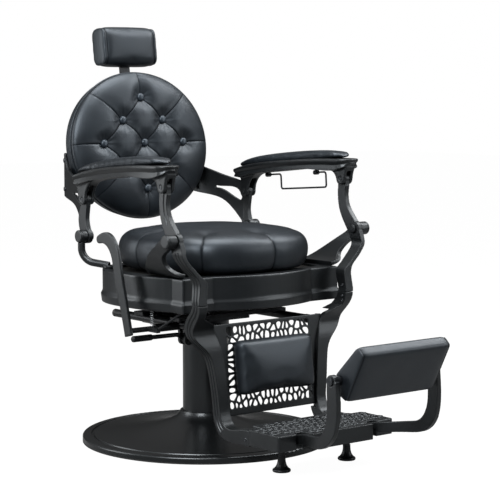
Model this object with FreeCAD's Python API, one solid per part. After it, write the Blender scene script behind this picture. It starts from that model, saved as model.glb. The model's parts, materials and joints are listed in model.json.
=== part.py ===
"""Barber chair with a round tufted back, cast scroll levers and a pierced calf panel.

Millimetres, +Z up. The origin is on the floor at the centre of the round base.
The chair faces -Y and the sitter's left is +X. The seat is at its lowest and the back is upright.
"""
import FreeCAD
import Part

import math
import os

V = FreeCAD.Vector
ORIGIN = V(0, 0, 0)
ALONG_X = V(1, 0, 0)
ALONG_Y = V(0, 1, 0)
ALONG_Z = V(0, 0, 1)

# Base and pump
BASE_RADIUS = 340.0
PLATE_RADIUS = 326.0
PLATE_TOP = 8.0
GASKET_TOP = 4.0
COLUMN_RADIUS = 63.0
COLUMN_TOP = 318.0
COLLAR_RADIUS = 65.0
COLLAR_TOP = 338.0
CYLINDER_TOP = 300.0
CYLINDER_BORE = 40.0
RAM_RADIUS = 28.0
RAM_BOTTOM = 70.0
RAM_SHOULDER = 341.0
SPIGOT_RADIUS = 20.0
SPIGOT_TOP = 369.0
SHAFT_CLEARANCE = 0.05

# Chassis
HUB_BOTTOM = 345.0
HUB_TOP = 353.0
BAR_TOP = 363.0
BAR_HALF_LENGTH = 184.0
BAR_WIDTH = 40.0
BAR_FRONT_Y = -105.0
BAR_REAR_Y = 60.0
STANDOFF_X = 60.0
STANDOFF_RADIUS = 10.0
RAIL_X = 168.0
RAIL_Z = 345.0
RAIL_RADIUS = 11.0
RAIL_FRONT_Y = -230.0
RAIL_REAR_Y = 182.0

# Seat
APRON_BOTTOM = 393.0
APRON_BEAD = 416.0
APRON_WAIST = 424.0
APRON_TOP = 483.0
APRON_WALL = 8.0
APRON_FLANGE = 38.0
FLANGE_THICKNESS = 8.0
DECK_THICKNESS = 12.0
CUSHION_HALF_WIDTH = 246.0
CUSHION_HALF_DEPTH = 236.0
CUSHION_CENTRE_Y = -36.0
CUSHION_TOP = 586.0
CUSHION_SQUARENESS = 2.6

# Arm linkage: pivots as (Y, Z), and the planes that the levers work in
FRONT_PIVOT = (-276.0, 585.0)
REAR_PIVOT = (158.0, 568.0)
FRONT_HINGE = (-231.0, 720.0)
REAR_HINGE = (160.0, 668.0)
FRONT_LEVER_X = 304.0
REAR_POST_X = 282.0
LEVER_THICKNESS = 14.0
EYE_RADIUS = 14.0
HINGE_PIN_RADIUS = 4.0
OPEN_PIVOT_CLEARANCE = 1.7
PIVOT_PIN_RADIUS = 9.0
SPLICE_Z = 419.0
BRACKET_HALF_THICKNESS = 6.0
GROOVE_DEPTH = 2.5

# Recline lock and its handle
LOCK_X = -120.0
LOCK_Z = 336.0
LOCK_RADIUS = 15.0
LOCK_ROD_RADIUS = 6.0
LOCK_PIN = (-216.5, 338.0)
LOCK_PIN_RADIUS = 5.0
HANDLE_X = -333.0
HANDLE_THICKNESS = 10.0
SHAFT_Y = -104.0
SHAFT_Z = 341.0
SHAFT_RADIUS = 7.0

# Pump pedal
PEDAL_Y = -20.0
PEDAL_PIVOT = (-84.0, 286.0)
PEDAL_RADIUS = 6.0

# Calf panel and footrest
PANEL_THICKNESS = 4.0
PANEL_TILT = 5.3
PANEL_PIVOT = (-273.0, 312.0)
PANEL_BOTTOM = 121.0
PANEL_TOP = 361.0
PAD_HALF_WIDTH = 118.0
PAD_BOTTOM = 180.0
PAD_TOP = 309.0
PAD_DEPTH = 20.0
FIELD_HALF_WIDTH = 141.0
FIELD_BOTTOM = 139.0
FIELD_TOP = 352.0
LEG_INNER_X = 149.0
LEG_OUTER_X = 182.0
TREAD_TOP = 114.0
TREAD_BOTTOM = 74.0
TREAD_SKIN = 8.0
LEVELLER_X = 111.0
LEVELLER_Y = -458.0
LEVELLER_RADIUS = 6.0
FLOOR_GAP = 2.0

# Bolster
BOLSTER_HALF_WIDTH = 149.0
BOLSTER_PIVOT = (-714.0, 273.0)
BOLSTER_PIN_RADIUS = 7.0
BOLSTER_ARM_X = 168.0
BOLSTER_ARM_HALF = 7.0

# Back and headrest, in the back's own frame: x across, y up the back, z out of its front
BACK_LEAN = 7.5
BACK_CENTRE = V(0, 312, 802)
BACK_RADIUS = 204.0
BACK_WIDENING = 1.12
SEAM_DEPTH = 2.0
BACK_DEPTH = 48.0
CUSHION_CROWN = 43.0
BUTTON_RADIUS = 11.0
BUTTON_SEAT = 12.0
BUTTON_RISE = 8.0
BUTTON_DOME = 15.0
BUTTON_STEP_X = 69.0
BUTTON_STEP_Y = 65.0
BUTTON_CENTRE_Y = 5.0
HANGER_POST_END = V(282, 166, 0)
HANGER_SHELL_END = V(228, 335, 0)
HANGER_THICKNESS = 8.0
POST_HALF_WIDTH = 16.0
POST_FRONT = -35.0
POST_REAR = -43.0
SLOT_GAP = 0.4
HEADREST_HALF_WIDTH = 94.0
HEADREST_BOTTOM = 231.0
HEADREST_TOP = 342.0
HEADREST_HALF_DEPTH = 33.0
HEADREST_MIDDLE = -28.0

# Armrests
ARM_HALF_WIDTH = 36.0
CLEVIS_HALF_WIDTH = 17.0
CLEVIS_GAP = 8.0
TOWEL_X = 290.0
TOWEL_WIRE = 2.5


def line(start, end):
    """Straight edge between two points."""
    return Part.LineSegment(start, end).toShape()


def spline(points):
    """Smooth edge through all the points."""
    curve = Part.BSplineCurve()
    curve.interpolate(points)
    return curve.toShape()


def outline(*runs):
    """Face inside joined runs: two points make a line, three an arc, and more a smooth curve."""
    edges = []
    for run in runs:
        if len(run) == 2:
            edges.append(line(run[0], run[1]))
        elif len(run) == 3:
            edges.append(Part.Arc(run[0], run[1], run[2]).toShape())
        else:
            edges.append(spline(run))
    return Part.Face(Part.Wire(edges))


def polygon(points):
    """Face with straight sides."""
    return Part.Face(Part.makePolygon(points + points[:1]))


def side(y, z, x=0.0):
    """Point in the side view."""
    return V(x, y, z)


def front(x, z, y=0.0):
    """Point in the front view."""
    return V(x, y, z)


def offset_points(points, normal, distance):
    """Points moved sideways off the smooth curve through them, in the plane with this normal."""
    curve = Part.BSplineCurve()
    curve.interpolate(points)
    moved = []
    for point, step in zip(points, distance):
        across = curve.tangent(curve.parameter(point))[0].cross(normal)
        moved.append(point + across.normalize() * step)
    return moved


def strip(points, half_widths, normal):
    """Face of a curved strip whose width changes along its centre line."""
    left = offset_points(points, normal, half_widths)
    right = offset_points(points, normal, [-half for half in half_widths])
    right.reverse()
    return outline(left, [left[-1], right[0]], right, [right[-1], left[0]])


def revolved(*runs):
    """Solid turned about the Z axis from runs of (radius, height) points."""
    face = outline(*[[V(r, 0, z) for r, z in run] for run in runs])
    return face.revolve(ORIGIN, ALONG_Z, 360)


def cylinder(radius, start, end):
    """Round bar between two points."""
    return Part.makeCylinder(radius, (end - start).Length, start, end - start)


def box(low, high):
    """Block between two opposite corners."""
    size = V(*high) - V(*low)
    return Part.makeBox(size.x, size.y, size.z, V(*low))


def bent_path(points, radius):
    """Wire of straight runs joined by tangent arcs."""
    edges = []
    start = points[0]
    for before, corner, after in zip(points, points[1:], points[2:]):
        back = (before - corner).normalize()
        ahead = (after - corner).normalize()
        half = back.getAngle(ahead) / 2
        leave = corner + back * (radius / math.tan(half))
        join = corner + ahead * (radius / math.tan(half))
        middle = corner + (back + ahead).normalize() * (radius / math.sin(half) - radius)
        edges.append(line(start, leave))
        edges.append(Part.Arc(leave, middle, join).toShape())
        start = join
    edges.append(line(start, points[-1]))
    return Part.Wire(edges)


def bent_rod(points, bend_radius, radius):
    """Round rod along straight runs and tangent arcs."""
    ring = Part.Wire(Part.Circle(points[0], points[1] - points[0], radius).toShape())
    return bent_path(points, bend_radius).makePipeShell([ring], True, False)


def fused(first, *others):
    """One solid from pieces that are cast or welded together."""
    return first.fuse(list(others)).removeSplitter()


def mirrored(shape):
    """The same piece on the other side of the chair."""
    return shape.mirror(ORIGIN, ALONG_X)


def save(name, *shapes):
    """Write a node, and print its size as a check."""
    solids = [solid for shape in shapes for solid in shape.Solids]
    node = solids[0] if len(solids) == 1 else Part.Compound(solids)
    node.exportStep("parts/%s.step" % name)
    volume = sum(solid.Volume for solid in solids) / 1000.0
    print("%-28s %2d solids %9.1f cm3 valid %s" % (name, len(solids), volume, node.isValid()))


def save_pair(name, right_piece):
    """Write the sitter's left (+X) piece and its mirror image."""
    save(name + "_left", right_piece)
    save(name + "_right", mirrored(right_piece))


def base_parts():
    """Weighted round base, pump column, and the ram that carries the chair."""
    disc = revolved(
        [(BASE_RADIUS, GASKET_TOP), (BASE_RADIUS, 13)],
        [(BASE_RADIUS, 13), (338, 17), (333, 18.5)],
        [(333, 18.5), (316, 20)],
        [(316, 20), (314, 16.5)],
        [(314, 16.5), (310, 16.5)],
        [(310, 16.5), (308, 20.5)],
        [(308, 20.5), (240, 27), (170, 37), (115, 50), (82, 66), (70, 82)],
        [(70, 82), (COLUMN_RADIUS, 82)],
        [(COLUMN_RADIUS, 82), (COLUMN_RADIUS, 72)],
        [(COLUMN_RADIUS, 72), (78, 60), (112, 44), (168, 31), (240, 21), (308, 13)],
        [(308, 13), (PLATE_RADIUS, 11)],
        [(PLATE_RADIUS, 11), (PLATE_RADIUS, GASKET_TOP)],
        [(PLATE_RADIUS, GASKET_TOP), (BASE_RADIUS, GASKET_TOP)],
    )
    save("base_disc", disc)
    save("ballast_plate", cylinder(PLATE_RADIUS, ORIGIN, V(0, 0, PLATE_TOP)))
    ring = cylinder(BASE_RADIUS, ORIGIN, V(0, 0, GASKET_TOP))
    save("edge_gasket", ring.cut(cylinder(PLATE_RADIUS, ORIGIN, V(0, 0, GASKET_TOP))))

    foot = V(0, 0, PLATE_TOP)
    sleeve = cylinder(COLUMN_RADIUS, foot, V(0, 0, COLUMN_TOP))
    save("pump_column", sleeve.cut(cylinder(55, foot, V(0, 0, COLUMN_TOP))))
    barrel = cylinder(46, foot, V(0, 0, CYLINDER_TOP))
    save("pump_cylinder", barrel.cut(cylinder(CYLINDER_BORE, foot, V(0, 0, CYLINDER_TOP))))
    bore = RAM_RADIUS + SHAFT_CLEARANCE
    collar = revolved(
        [(bore, CYLINDER_TOP), (55, CYLINDER_TOP)],
        [(55, CYLINDER_TOP), (55, COLUMN_TOP)],
        [(55, COLUMN_TOP), (COLLAR_RADIUS, COLUMN_TOP)],
        [(COLLAR_RADIUS, COLUMN_TOP), (COLLAR_RADIUS, 333)],
        [(COLLAR_RADIUS, 333), (63.5, 336.5), (60, COLLAR_TOP)],
        [(60, COLLAR_TOP), (bore, COLLAR_TOP)],
        [(bore, COLLAR_TOP), (bore, CYLINDER_TOP)],
    )
    save("column_collar", collar)

    piston = cylinder(CYLINDER_BORE - 2 * SHAFT_CLEARANCE, V(0, 0, RAM_BOTTOM), V(0, 0, RAM_BOTTOM + 20))
    stem = cylinder(RAM_RADIUS, V(0, 0, RAM_BOTTOM), V(0, 0, RAM_SHOULDER))
    spigot = cylinder(SPIGOT_RADIUS, V(0, 0, RAM_SHOULDER), V(0, 0, SPIGOT_TOP))
    save("lift_ram", fused(stem, piston, spigot))
    race = cylinder(30, V(0, 0, RAM_SHOULDER), V(0, 0, HUB_BOTTOM))
    hole = cylinder(SPIGOT_RADIUS + 0.2, V(0, 0, RAM_SHOULDER), V(0, 0, HUB_BOTTOM))
    save("thrust_bearing", race.cut(hole))


def chassis_parts():
    """Swivel hub, cross bars, rails and stand-offs under the seat."""
    plate = box((-96, -125, HUB_BOTTOM), (62, 80, HUB_TOP))
    corners = [edge for edge in plate.Edges if abs(edge.tangentAt(0).z) > 0.9]
    plate = plate.makeFillet(14, corners)
    boss = cylinder(34, V(0, 0, HUB_BOTTOM), V(0, 0, SPIGOT_TOP))
    pivot_x, pivot_z = PEDAL_PIVOT
    ears = []
    for low_y in (PEDAL_Y - 16, PEDAL_Y + 7):
        ear = box((pivot_x - 14, low_y, pivot_z), (pivot_x + 14, low_y + 9, HUB_BOTTOM))
        tip = cylinder(14, V(pivot_x, low_y, pivot_z), V(pivot_x, low_y + 9, pivot_z))
        ears += [ear, tip]
    bore = cylinder(SPIGOT_RADIUS + SHAFT_CLEARANCE, V(0, 0, HUB_BOTTOM), V(0, 0, SPIGOT_TOP))
    pin_hole = cylinder(PEDAL_RADIUS + SHAFT_CLEARANCE, V(pivot_x, -60, pivot_z), V(pivot_x, 20, pivot_z))
    save("swivel_hub", fused(plate, boss, *ears).cut(bore).cut(pin_hole))

    rails = {}
    plugs = []
    for sign in (-1, 1):
        x = sign * RAIL_X
        start = V(x, RAIL_FRONT_Y, RAIL_Z)
        end = V(x, RAIL_REAR_Y, RAIL_Z)
        rails[sign] = cylinder(RAIL_RADIUS, start, end)
        plugs.append(cylinder(RAIL_RADIUS, end, end + ALONG_Y * 10))
        plugs.append(cylinder(RAIL_RADIUS + 1, start - ALONG_Y * 11, start))
    bars = []
    for y in (BAR_FRONT_Y, BAR_REAR_Y):
        low = (-BAR_HALF_LENGTH, y - BAR_WIDTH / 2, HUB_TOP)
        bars.append(box(low, (BAR_HALF_LENGTH, y + BAR_WIDTH / 2, BAR_TOP)).cut(list(rails.values())))
    save("cross_members", *bars)

    bearing_end = V(-RAIL_X, SHAFT_Y, SHAFT_Z)
    bearing = cylinder(RAIL_RADIUS, V(-250, SHAFT_Y, SHAFT_Z), bearing_end)
    bore = cylinder(SHAFT_RADIUS + SHAFT_CLEARANCE, V(-250, SHAFT_Y, SHAFT_Z), V(-186, SHAFT_Y, SHAFT_Z))
    save("chassis_rails", rails[1], fused(rails[-1], bearing).cut(bore))
    save("rail_plugs", *plugs)

    places = [(x, y) for x in (-STANDOFF_X, STANDOFF_X) for y in (BAR_FRONT_Y, BAR_REAR_Y)]
    deck_bottom = APRON_TOP - FLANGE_THICKNESS - DECK_THICKNESS
    posts = [cylinder(STANDOFF_RADIUS, V(x, y, BAR_TOP), V(x, y, deck_bottom)) for x, y in places]
    save("chassis_posts", *posts)


def apron_wire(offset, z):
    """Plan outline of the seat skirt, moved outwards: bowed front, corner blocks and a round back."""
    corner_x = 265 + offset
    corner_y = -250 - offset
    bow = [V(-167, corner_y, z), V(0, -287 - offset, z), V(167, corner_y, z)]
    wrap = [(265, -205), (291, -110), (297, -20), (272, 100), (190, 178), (0, 207)]
    wrap += [(-x, y) for x, y in reversed(wrap[:-1])]
    wrap = offset_points([V(x, y, z) for x, y in wrap], ALONG_Z, [offset] * len(wrap))
    wrap[0] = V(corner_x, -205, z)
    wrap[-1] = V(-corner_x, -205, z)
    return outline(
        bow,
        [bow[-1], V(corner_x, corner_y, z)],
        [V(corner_x, corner_y, z), wrap[0]],
        wrap,
        [wrap[-1], V(-corner_x, corner_y, z)],
        [V(-corner_x, corner_y, z), bow[0]],
    ).OuterWire


def prism(wire, height):
    """Straight-sided solid that stands on a flat wire."""
    return Part.Face(wire).extrude(ALONG_Z * height)


def squircle(scale, z):
    """Closed rounded-square curve of the seat cushion at one height."""
    points = []
    steps = 32
    for step in range(steps):
        angle = 2 * math.pi * step / steps
        power = 2 / CUSHION_SQUARENESS
        across = math.copysign(abs(math.cos(angle)) ** power, math.cos(angle))
        along = math.copysign(abs(math.sin(angle)) ** power, math.sin(angle))
        x = scale * CUSHION_HALF_WIDTH * across
        points.append(V(x, CUSHION_CENTRE_Y + scale * CUSHION_HALF_DEPTH * along, z))
    curve = Part.BSplineCurve()
    curve.interpolate(points, True)
    return Part.Wire(curve.toShape())


def seat_parts():
    """Moulded skirt, deck and the deep round-edged cushion."""
    upper = prism(apron_wire(0, APRON_WAIST), APRON_TOP - APRON_WAIST)
    slope = Part.makeLoft([apron_wire(5, APRON_BEAD), apron_wire(0, APRON_WAIST)], True, True)
    band = Part.makeLoft([apron_wire(2, APRON_BOTTOM), apron_wire(5, APRON_BEAD)], True, True)
    inside = prism(apron_wire(-APRON_WALL, APRON_BOTTOM), APRON_TOP - FLANGE_THICKNESS - APRON_BOTTOM)
    opening = prism(apron_wire(-APRON_FLANGE, APRON_BOTTOM), APRON_TOP - APRON_BOTTOM)
    spring_peg = cylinder(3, V(-284, -141, 400), V(-262, -141, 400))
    skirt = fused(upper, slope, band).cut(inside).cut(opening)
    save("seat_apron", fused(skirt, spring_peg))
    deck_bottom = APRON_TOP - FLANGE_THICKNESS - DECK_THICKNESS
    save("seat_deck", prism(apron_wire(-APRON_WALL - 1, deck_bottom), DECK_THICKNESS))
    levels = [(0.90, APRON_TOP), (0.975, 500), (1.0, 528), (0.99, 553), (0.935, 574), (0.80, CUSHION_TOP)]
    save("seat_cushion", Part.makeLoft([squircle(scale, z) for scale, z in levels], True))


def pivot_parts():
    """Brackets on the skirt that carry the front and rear pivots, and their pins."""
    y, z = FRONT_PIVOT
    lever_face = FRONT_LEVER_X + LEVER_THICKNESS / 2
    foot_rear = side(-98, APRON_TOP)
    foot_front = side(-236, APRON_TOP)
    hook = outline(
        [side(y, z + 17), side(-252, 594), side(-227, 577), side(-191, 555), side(-152, 527), foot_rear],
        [foot_rear, foot_front],
        [foot_front, side(-240, 496), side(-224, 514), side(-228, 534), side(-250, 553), side(y, z - 17)],
        [side(y, z - 17), side(y, z + 17)],
    ).extrude(ALONG_X * 350)
    lean = [(325, 610), (324, 578), (317, 550), (303, 527), (284, 505), (250, 489)]
    lean = [front(*point) for point in lean]
    leaning = strip(lean, [BRACKET_HALF_THICKNESS] * len(lean), ALONG_Y).extrude(ALONG_Y * 330)
    leaning.translate(ALONG_Y * -330)
    boss = cylinder(18, V(lever_face + 2, y, z), V(336, y, z))
    bore = cylinder(PIVOT_PIN_RADIUS, V(200, y, z), V(400, y, z))
    save_pair("front_pivot_bracket", fused(hook.common(leaning), boss).cut(bore))
    inner_face = FRONT_LEVER_X - LEVER_THICKNESS / 2
    pin = cylinder(PIVOT_PIN_RADIUS, V(inner_face - 6, y, z), V(338, y, z))
    cap = cylinder(18, V(336, y, z), V(343, y, z))
    cap = cap.makeFillet(4, [edge for edge in cap.Edges if edge.BoundBox.XMin > 342])
    screw = cylinder(12, V(inner_face - 6, y, z), V(inner_face - 1, y, z))
    front_pin = fused(pin, cap, screw)
    save("front_pivot_pins", front_pin, mirrored(front_pin))

    y, z = REAR_PIVOT
    inner = REAR_POST_X + LEVER_THICKNESS / 2
    boss = cylinder(17, V(inner + 1, y, z), V(307, y, z))
    bar = bent_rod([V(301, y, z), V(301, y, 502), V(256, 92, 491)], 40, 10.0)
    foot = cylinder(16, V(256, 92, APRON_TOP), V(256, 92, APRON_TOP + 8))
    sole = box((230, 66, APRON_TOP - 30), (282, 118, APRON_TOP))
    bore = cylinder(PIVOT_PIN_RADIUS, V(200, y, z), V(400, y, z))
    cap_seat = box((307, y - 30, z - 18), (330, y + 30, z + 30))
    save_pair("rear_pivot_bracket", fused(boss, bar.cut(cap_seat), foot).cut(sole).cut(bore))
    outer = REAR_POST_X - LEVER_THICKNESS / 2
    pin = cylinder(PIVOT_PIN_RADIUS, V(outer - 6, y, z), V(308, y, z))
    cap = cylinder(17, V(307, y, z), V(313, y, z))
    cap = cap.makeFillet(3, [edge for edge in cap.Edges if edge.BoundBox.XMin > 312])
    head = cylinder(14, V(outer - 6, y, z), V(outer - 1, y, z))
    rear_pin = fused(pin, cap, head)
    save("rear_pivot_pins", rear_pin, mirrored(rear_pin))


def lever_side_path():
    """Centre line of the scroll lever in the side view, from its hinge eye to the splice."""
    path = [(-229, 704), (-227, 672), (-231, 648), (-245, 621), (-270, 588), (-286, 556), (-290, 525)]
    path += [(-292, 495), (-295, 465), (-299, SPLICE_Z)]
    return [side(y, z) for y, z in path]


def lever_front_outline():
    """The lever in the front view: it steps inwards below the pivot and thickens at the seat."""
    x = FRONT_LEVER_X
    half = LEVER_THICKNESS / 2
    outer = [(x + half, 740), (x + half, 560), (x + half - 2, 543), (297, 525), (281, 508), (267, 495)]
    outer += [(259, 480), (259, 455), (262, SPLICE_Z)]
    inner = [(235, SPLICE_Z), (233, 455), (235, 480), (248, 492), (266, 509), (283, 526), (x - half - 1, 543)]
    inner += [(x - half, 560), (x - half, 740)]
    outer = [front(*point) for point in outer]
    inner = [front(*point) for point in inner]
    return outline(outer[:2], outer[1:], [outer[-1], inner[0]], inner[:-1], inner[-2:], [inner[-1], outer[0]])


def grooves(path, skin, offsets):
    """Shallow channels that follow a lever's outer face."""
    cuts = []
    for offset in offsets:
        centre = offset_points(path, ALONG_X, [offset] * len(path))
        face = strip(centre, [2.0] * len(path), ALONG_X)
        cuts.append(face.extrude(ALONG_X * 400).common(skin))
    return cuts


def lever_parts():
    """Upper lever castings, from the armrest hinge to the splice beside the seat."""
    path = lever_side_path()
    widths = [16, 15, 15.5, 17.5, 20, 20.5, 19, 18.5, 17, 16]
    face = lever_front_outline()
    face.translate(ALONG_Y * -420)
    slab = face.extrude(ALONG_Y * 320)
    skin = slab.cut(slab.translated(ALONG_X * -GROOVE_DEPTH))
    lever = strip(path, widths, ALONG_X).extrude(ALONG_X * 400).common(slab)
    x_low = FRONT_LEVER_X - LEVER_THICKNESS / 2
    x_high = FRONT_LEVER_X + LEVER_THICKNESS / 2
    y, z = FRONT_HINGE
    neck = box((x_low, y - 13, 700), (x_high, y + 13, z))
    eye = cylinder(EYE_RADIUS, V(x_low, y, z), V(x_high, y, z))
    pin_y, pin_z = FRONT_PIVOT
    boss = cylinder(21, V(x_low, pin_y, pin_z), V(x_high, pin_y, pin_z))
    lever = fused(lever, neck, eye, boss)
    open_radius = HINGE_PIN_RADIUS + OPEN_PIVOT_CLEARANCE
    lever = lever.cut(cylinder(open_radius, V(200, y, z), V(400, y, z)))
    running = PIVOT_PIN_RADIUS + SHAFT_CLEARANCE
    lever = lever.cut(cylinder(running, V(200, pin_y, pin_z), V(400, pin_y, pin_z)))
    lever = lever.cut(grooves(path[:4], skin, [4.0]) + grooves(path[5:], skin, [-5.5, 5.5]))
    save_pair("arm_post", lever)


def leg_inner_edge():
    """Inner edge of the leg in the front view, from the foot up to the panel's top corner."""
    edge = [(LEG_INNER_X, 60), (LEG_INNER_X, 110), (151, 170), (157, 240), (166, 295), (190, 364)]
    return [front(*point) for point in edge]


def leg_parts():
    """Lower leg castings: a ribbed outer edge, and a web for the calf panel; gives back one leg."""
    path = [(-299, SPLICE_Z), (-292, 398), (-273, 377), (-259, 356), (-257, 336), (-264, 310), (-270, 275)]
    path += [(-276, 225), (-280, 165), (-284, 122), (-304, 91), (-345, 83), (-420, 83)]
    path = [side(y, z) for y, z in path]
    widths = [16, 16, 17, 17, 17, 17, 16, 15, 15, 16, 17, 17, 17]
    outer = [(262, SPLICE_Z), (260, 395), (255, 360), (246, 332), (222, 306), (203, 282), (194, 250)]
    outer += [(188, 200), (183, 150), (LEG_OUTER_X, 110), (LEG_OUTER_X, 60)]
    outer = [front(*point) for point in outer]
    inner = leg_inner_edge()
    shoulder = front(235, 384)
    face = outline(
        outer,
        [outer[-1], inner[0]],
        inner,
        [inner[-1], shoulder],
        [shoulder, front(235, SPLICE_Z)],
        [front(235, SPLICE_Z), outer[0]],
    )
    face.translate(ALONG_Y * -430)
    slab = face.extrude(ALONG_Y * 220)
    skin = slab.cut(slab.translated(ALONG_X * -GROOVE_DEPTH))
    ribbon = strip(path, widths, ALONG_X).extrude(ALONG_X * 300)
    behind = ribbon.translated(ALONG_Y * 13).common(slab.translated(ALONG_X * -22))
    behind = behind.common(box((100, -300, 112), (300, -200, 372)))
    leg = ribbon.common(slab).cut(behind)
    leg = leg.cut(grooves(path[:11], skin, [-5.0, 5.0]))
    save_pair("leg_casting", leg)

    screws = []
    for z, x in ((452, 236), (438, 235.5), (408, 235), (396, 235)):
        screws.append(cylinder(4, V(x - 2.5, -301, z), V(x + 4, -301, z)))
    screws.append(cylinder(5, V(LEG_OUTER_X - 6, -400, 83), V(LEG_OUTER_X + 2, -400, 83)))
    save("frame_screws", *(screws + [mirrored(screw) for screw in screws]))
    return leg


def tilt_panel(shape):
    """Lean an upright panel piece forward at the foot and set it between the legs."""
    y, z = PANEL_PIVOT
    shape.translate(ALONG_Y * y)
    shape.rotate(side(y, z), ALONG_X, -PANEL_TILT)
    return shape


def pebble(x, z, wide, high, turn):
    """One rounded hole of the pierced border, as a seven-sided cutter."""
    points = []
    for step in range(7):
        angle = 2 * math.pi * step / 7 + turn
        swell = 1 + 0.14 * math.sin(3 * angle + 2 * turn)
        points.append(front(x + wide * swell * math.cos(angle), z + high * swell * math.sin(angle), -2))
    return polygon(points).extrude(ALONG_Y * (PANEL_THICKNESS + 4))


def pierced_border():
    """Cutters for the border round the pad: two staggered rows above and below, one at each side."""
    cutters = []
    rows = 3
    for low, high, count in ((PAD_TOP + 2, FIELD_TOP, 15), (FIELD_BOTTOM, PAD_BOTTOM - 2, 15)):
        row_height = (high - low) / rows
        pitch = 2 * FIELD_HALF_WIDTH / count
        for row in range(rows):
            shift = row % 2
            for index in range(count - shift):
                x = -FIELD_HALF_WIDTH + pitch * (index + 0.5 + 0.5 * shift)
                wave = math.sin(2.3 * index + 1.7 * row + low)
                wide = pitch * (0.36 + 0.05 * wave)
                tall = row_height * (0.39 - 0.05 * wave)
                cutters.append(pebble(x, low + row_height * (row + 0.5), wide, tall, 1.9 * index + row))
    side_x = (PAD_HALF_WIDTH + FIELD_HALF_WIDTH) / 2 + 1
    side_count = 9
    pitch = (PAD_TOP - PAD_BOTTOM) / side_count
    for index in range(side_count):
        z = PAD_BOTTOM + pitch * (index + 0.5)
        for sign in (-1, 1):
            cutters.append(pebble(sign * side_x, z, 5.0, pitch * 0.34, 1.3 * index * sign))
    return cutters


def rounded_rectangle(half_width, low, high, radius, y):
    """Upright rectangle with round corners, as a wire."""
    middle = radius * (1 - math.sqrt(0.5))
    edges = []
    corners = [(half_width, low), (half_width, high), (-half_width, high), (-half_width, low)]
    ends = []
    for x, z in corners:
        in_x = x - math.copysign(radius, x)
        in_z = z + radius if z == low else z - radius
        arc_x = x - math.copysign(middle, x)
        arc_z = z + middle if z == low else z - middle
        upright = front(x, in_z, y)
        level = front(in_x, z, y)
        going_up = (x > 0) == (z == low)
        first, last = (level, upright) if going_up else (upright, level)
        ends.append((first, front(arc_x, arc_z, y), last))
    for index, (first, middle_point, last) in enumerate(ends):
        edges.append(Part.Arc(first, middle_point, last).toShape())
        edges.append(line(last, ends[(index + 1) % len(ends)][0]))
    return Part.Wire(edges)


def panel_parts():
    """Pierced calf panel with folded wings, its pad, and the lug for the recline lock."""
    gap = 0.8
    edge = [front(point.x - gap, point.z) for point in leg_inner_edge()]
    mirror_edge = [front(-point.x, point.z) for point in reversed(edge)]
    sheet = outline(
        edge,
        [edge[-1], mirror_edge[0]],
        mirror_edge,
        [mirror_edge[-1], edge[0]],
    )
    window = box((-300, -50, PANEL_BOTTOM), (300, 50, PANEL_TOP))
    slab = sheet.extrude(ALONG_Y * 22).common(window)
    wide = 4.0
    hollow = outline(
        [point - ALONG_X * wide for point in edge],
        [edge[-1] - ALONG_X * wide, mirror_edge[0] + ALONG_X * wide],
        [point + ALONG_X * wide for point in mirror_edge],
        [mirror_edge[-1] + ALONG_X * wide, edge[0] - ALONG_X * wide],
    ).extrude(ALONG_Y * 30).translated(ALONG_Y * PANEL_THICKNESS)
    panel = slab.cut(hollow).cut(pierced_border())
    panel = tilt_panel(panel)
    pin_y, pin_z = LOCK_PIN
    root = box((LOCK_X - 6, -268.5, pin_z - 12), (LOCK_X + 6, pin_y, pin_z + 12))
    nose = cylinder(12, V(LOCK_X - 6, pin_y, pin_z), V(LOCK_X + 6, pin_y, pin_z))
    pin = cylinder(LOCK_PIN_RADIUS, V(LOCK_X - 17, pin_y, pin_z), V(LOCK_X + 17, pin_y, pin_z))
    save("calf_panel", fused(panel, root, nose, pin))

    rings = []
    for inset, y in ((0, -0.2), (1, -PAD_DEPTH * 0.55), (7, -PAD_DEPTH)):
        ring = rounded_rectangle(PAD_HALF_WIDTH - inset, PAD_BOTTOM + inset, PAD_TOP - inset, 14 - inset, y)
        rings.append(ring)
    save("calf_pad", tilt_panel(Part.makeLoft(rings, True)))


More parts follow.
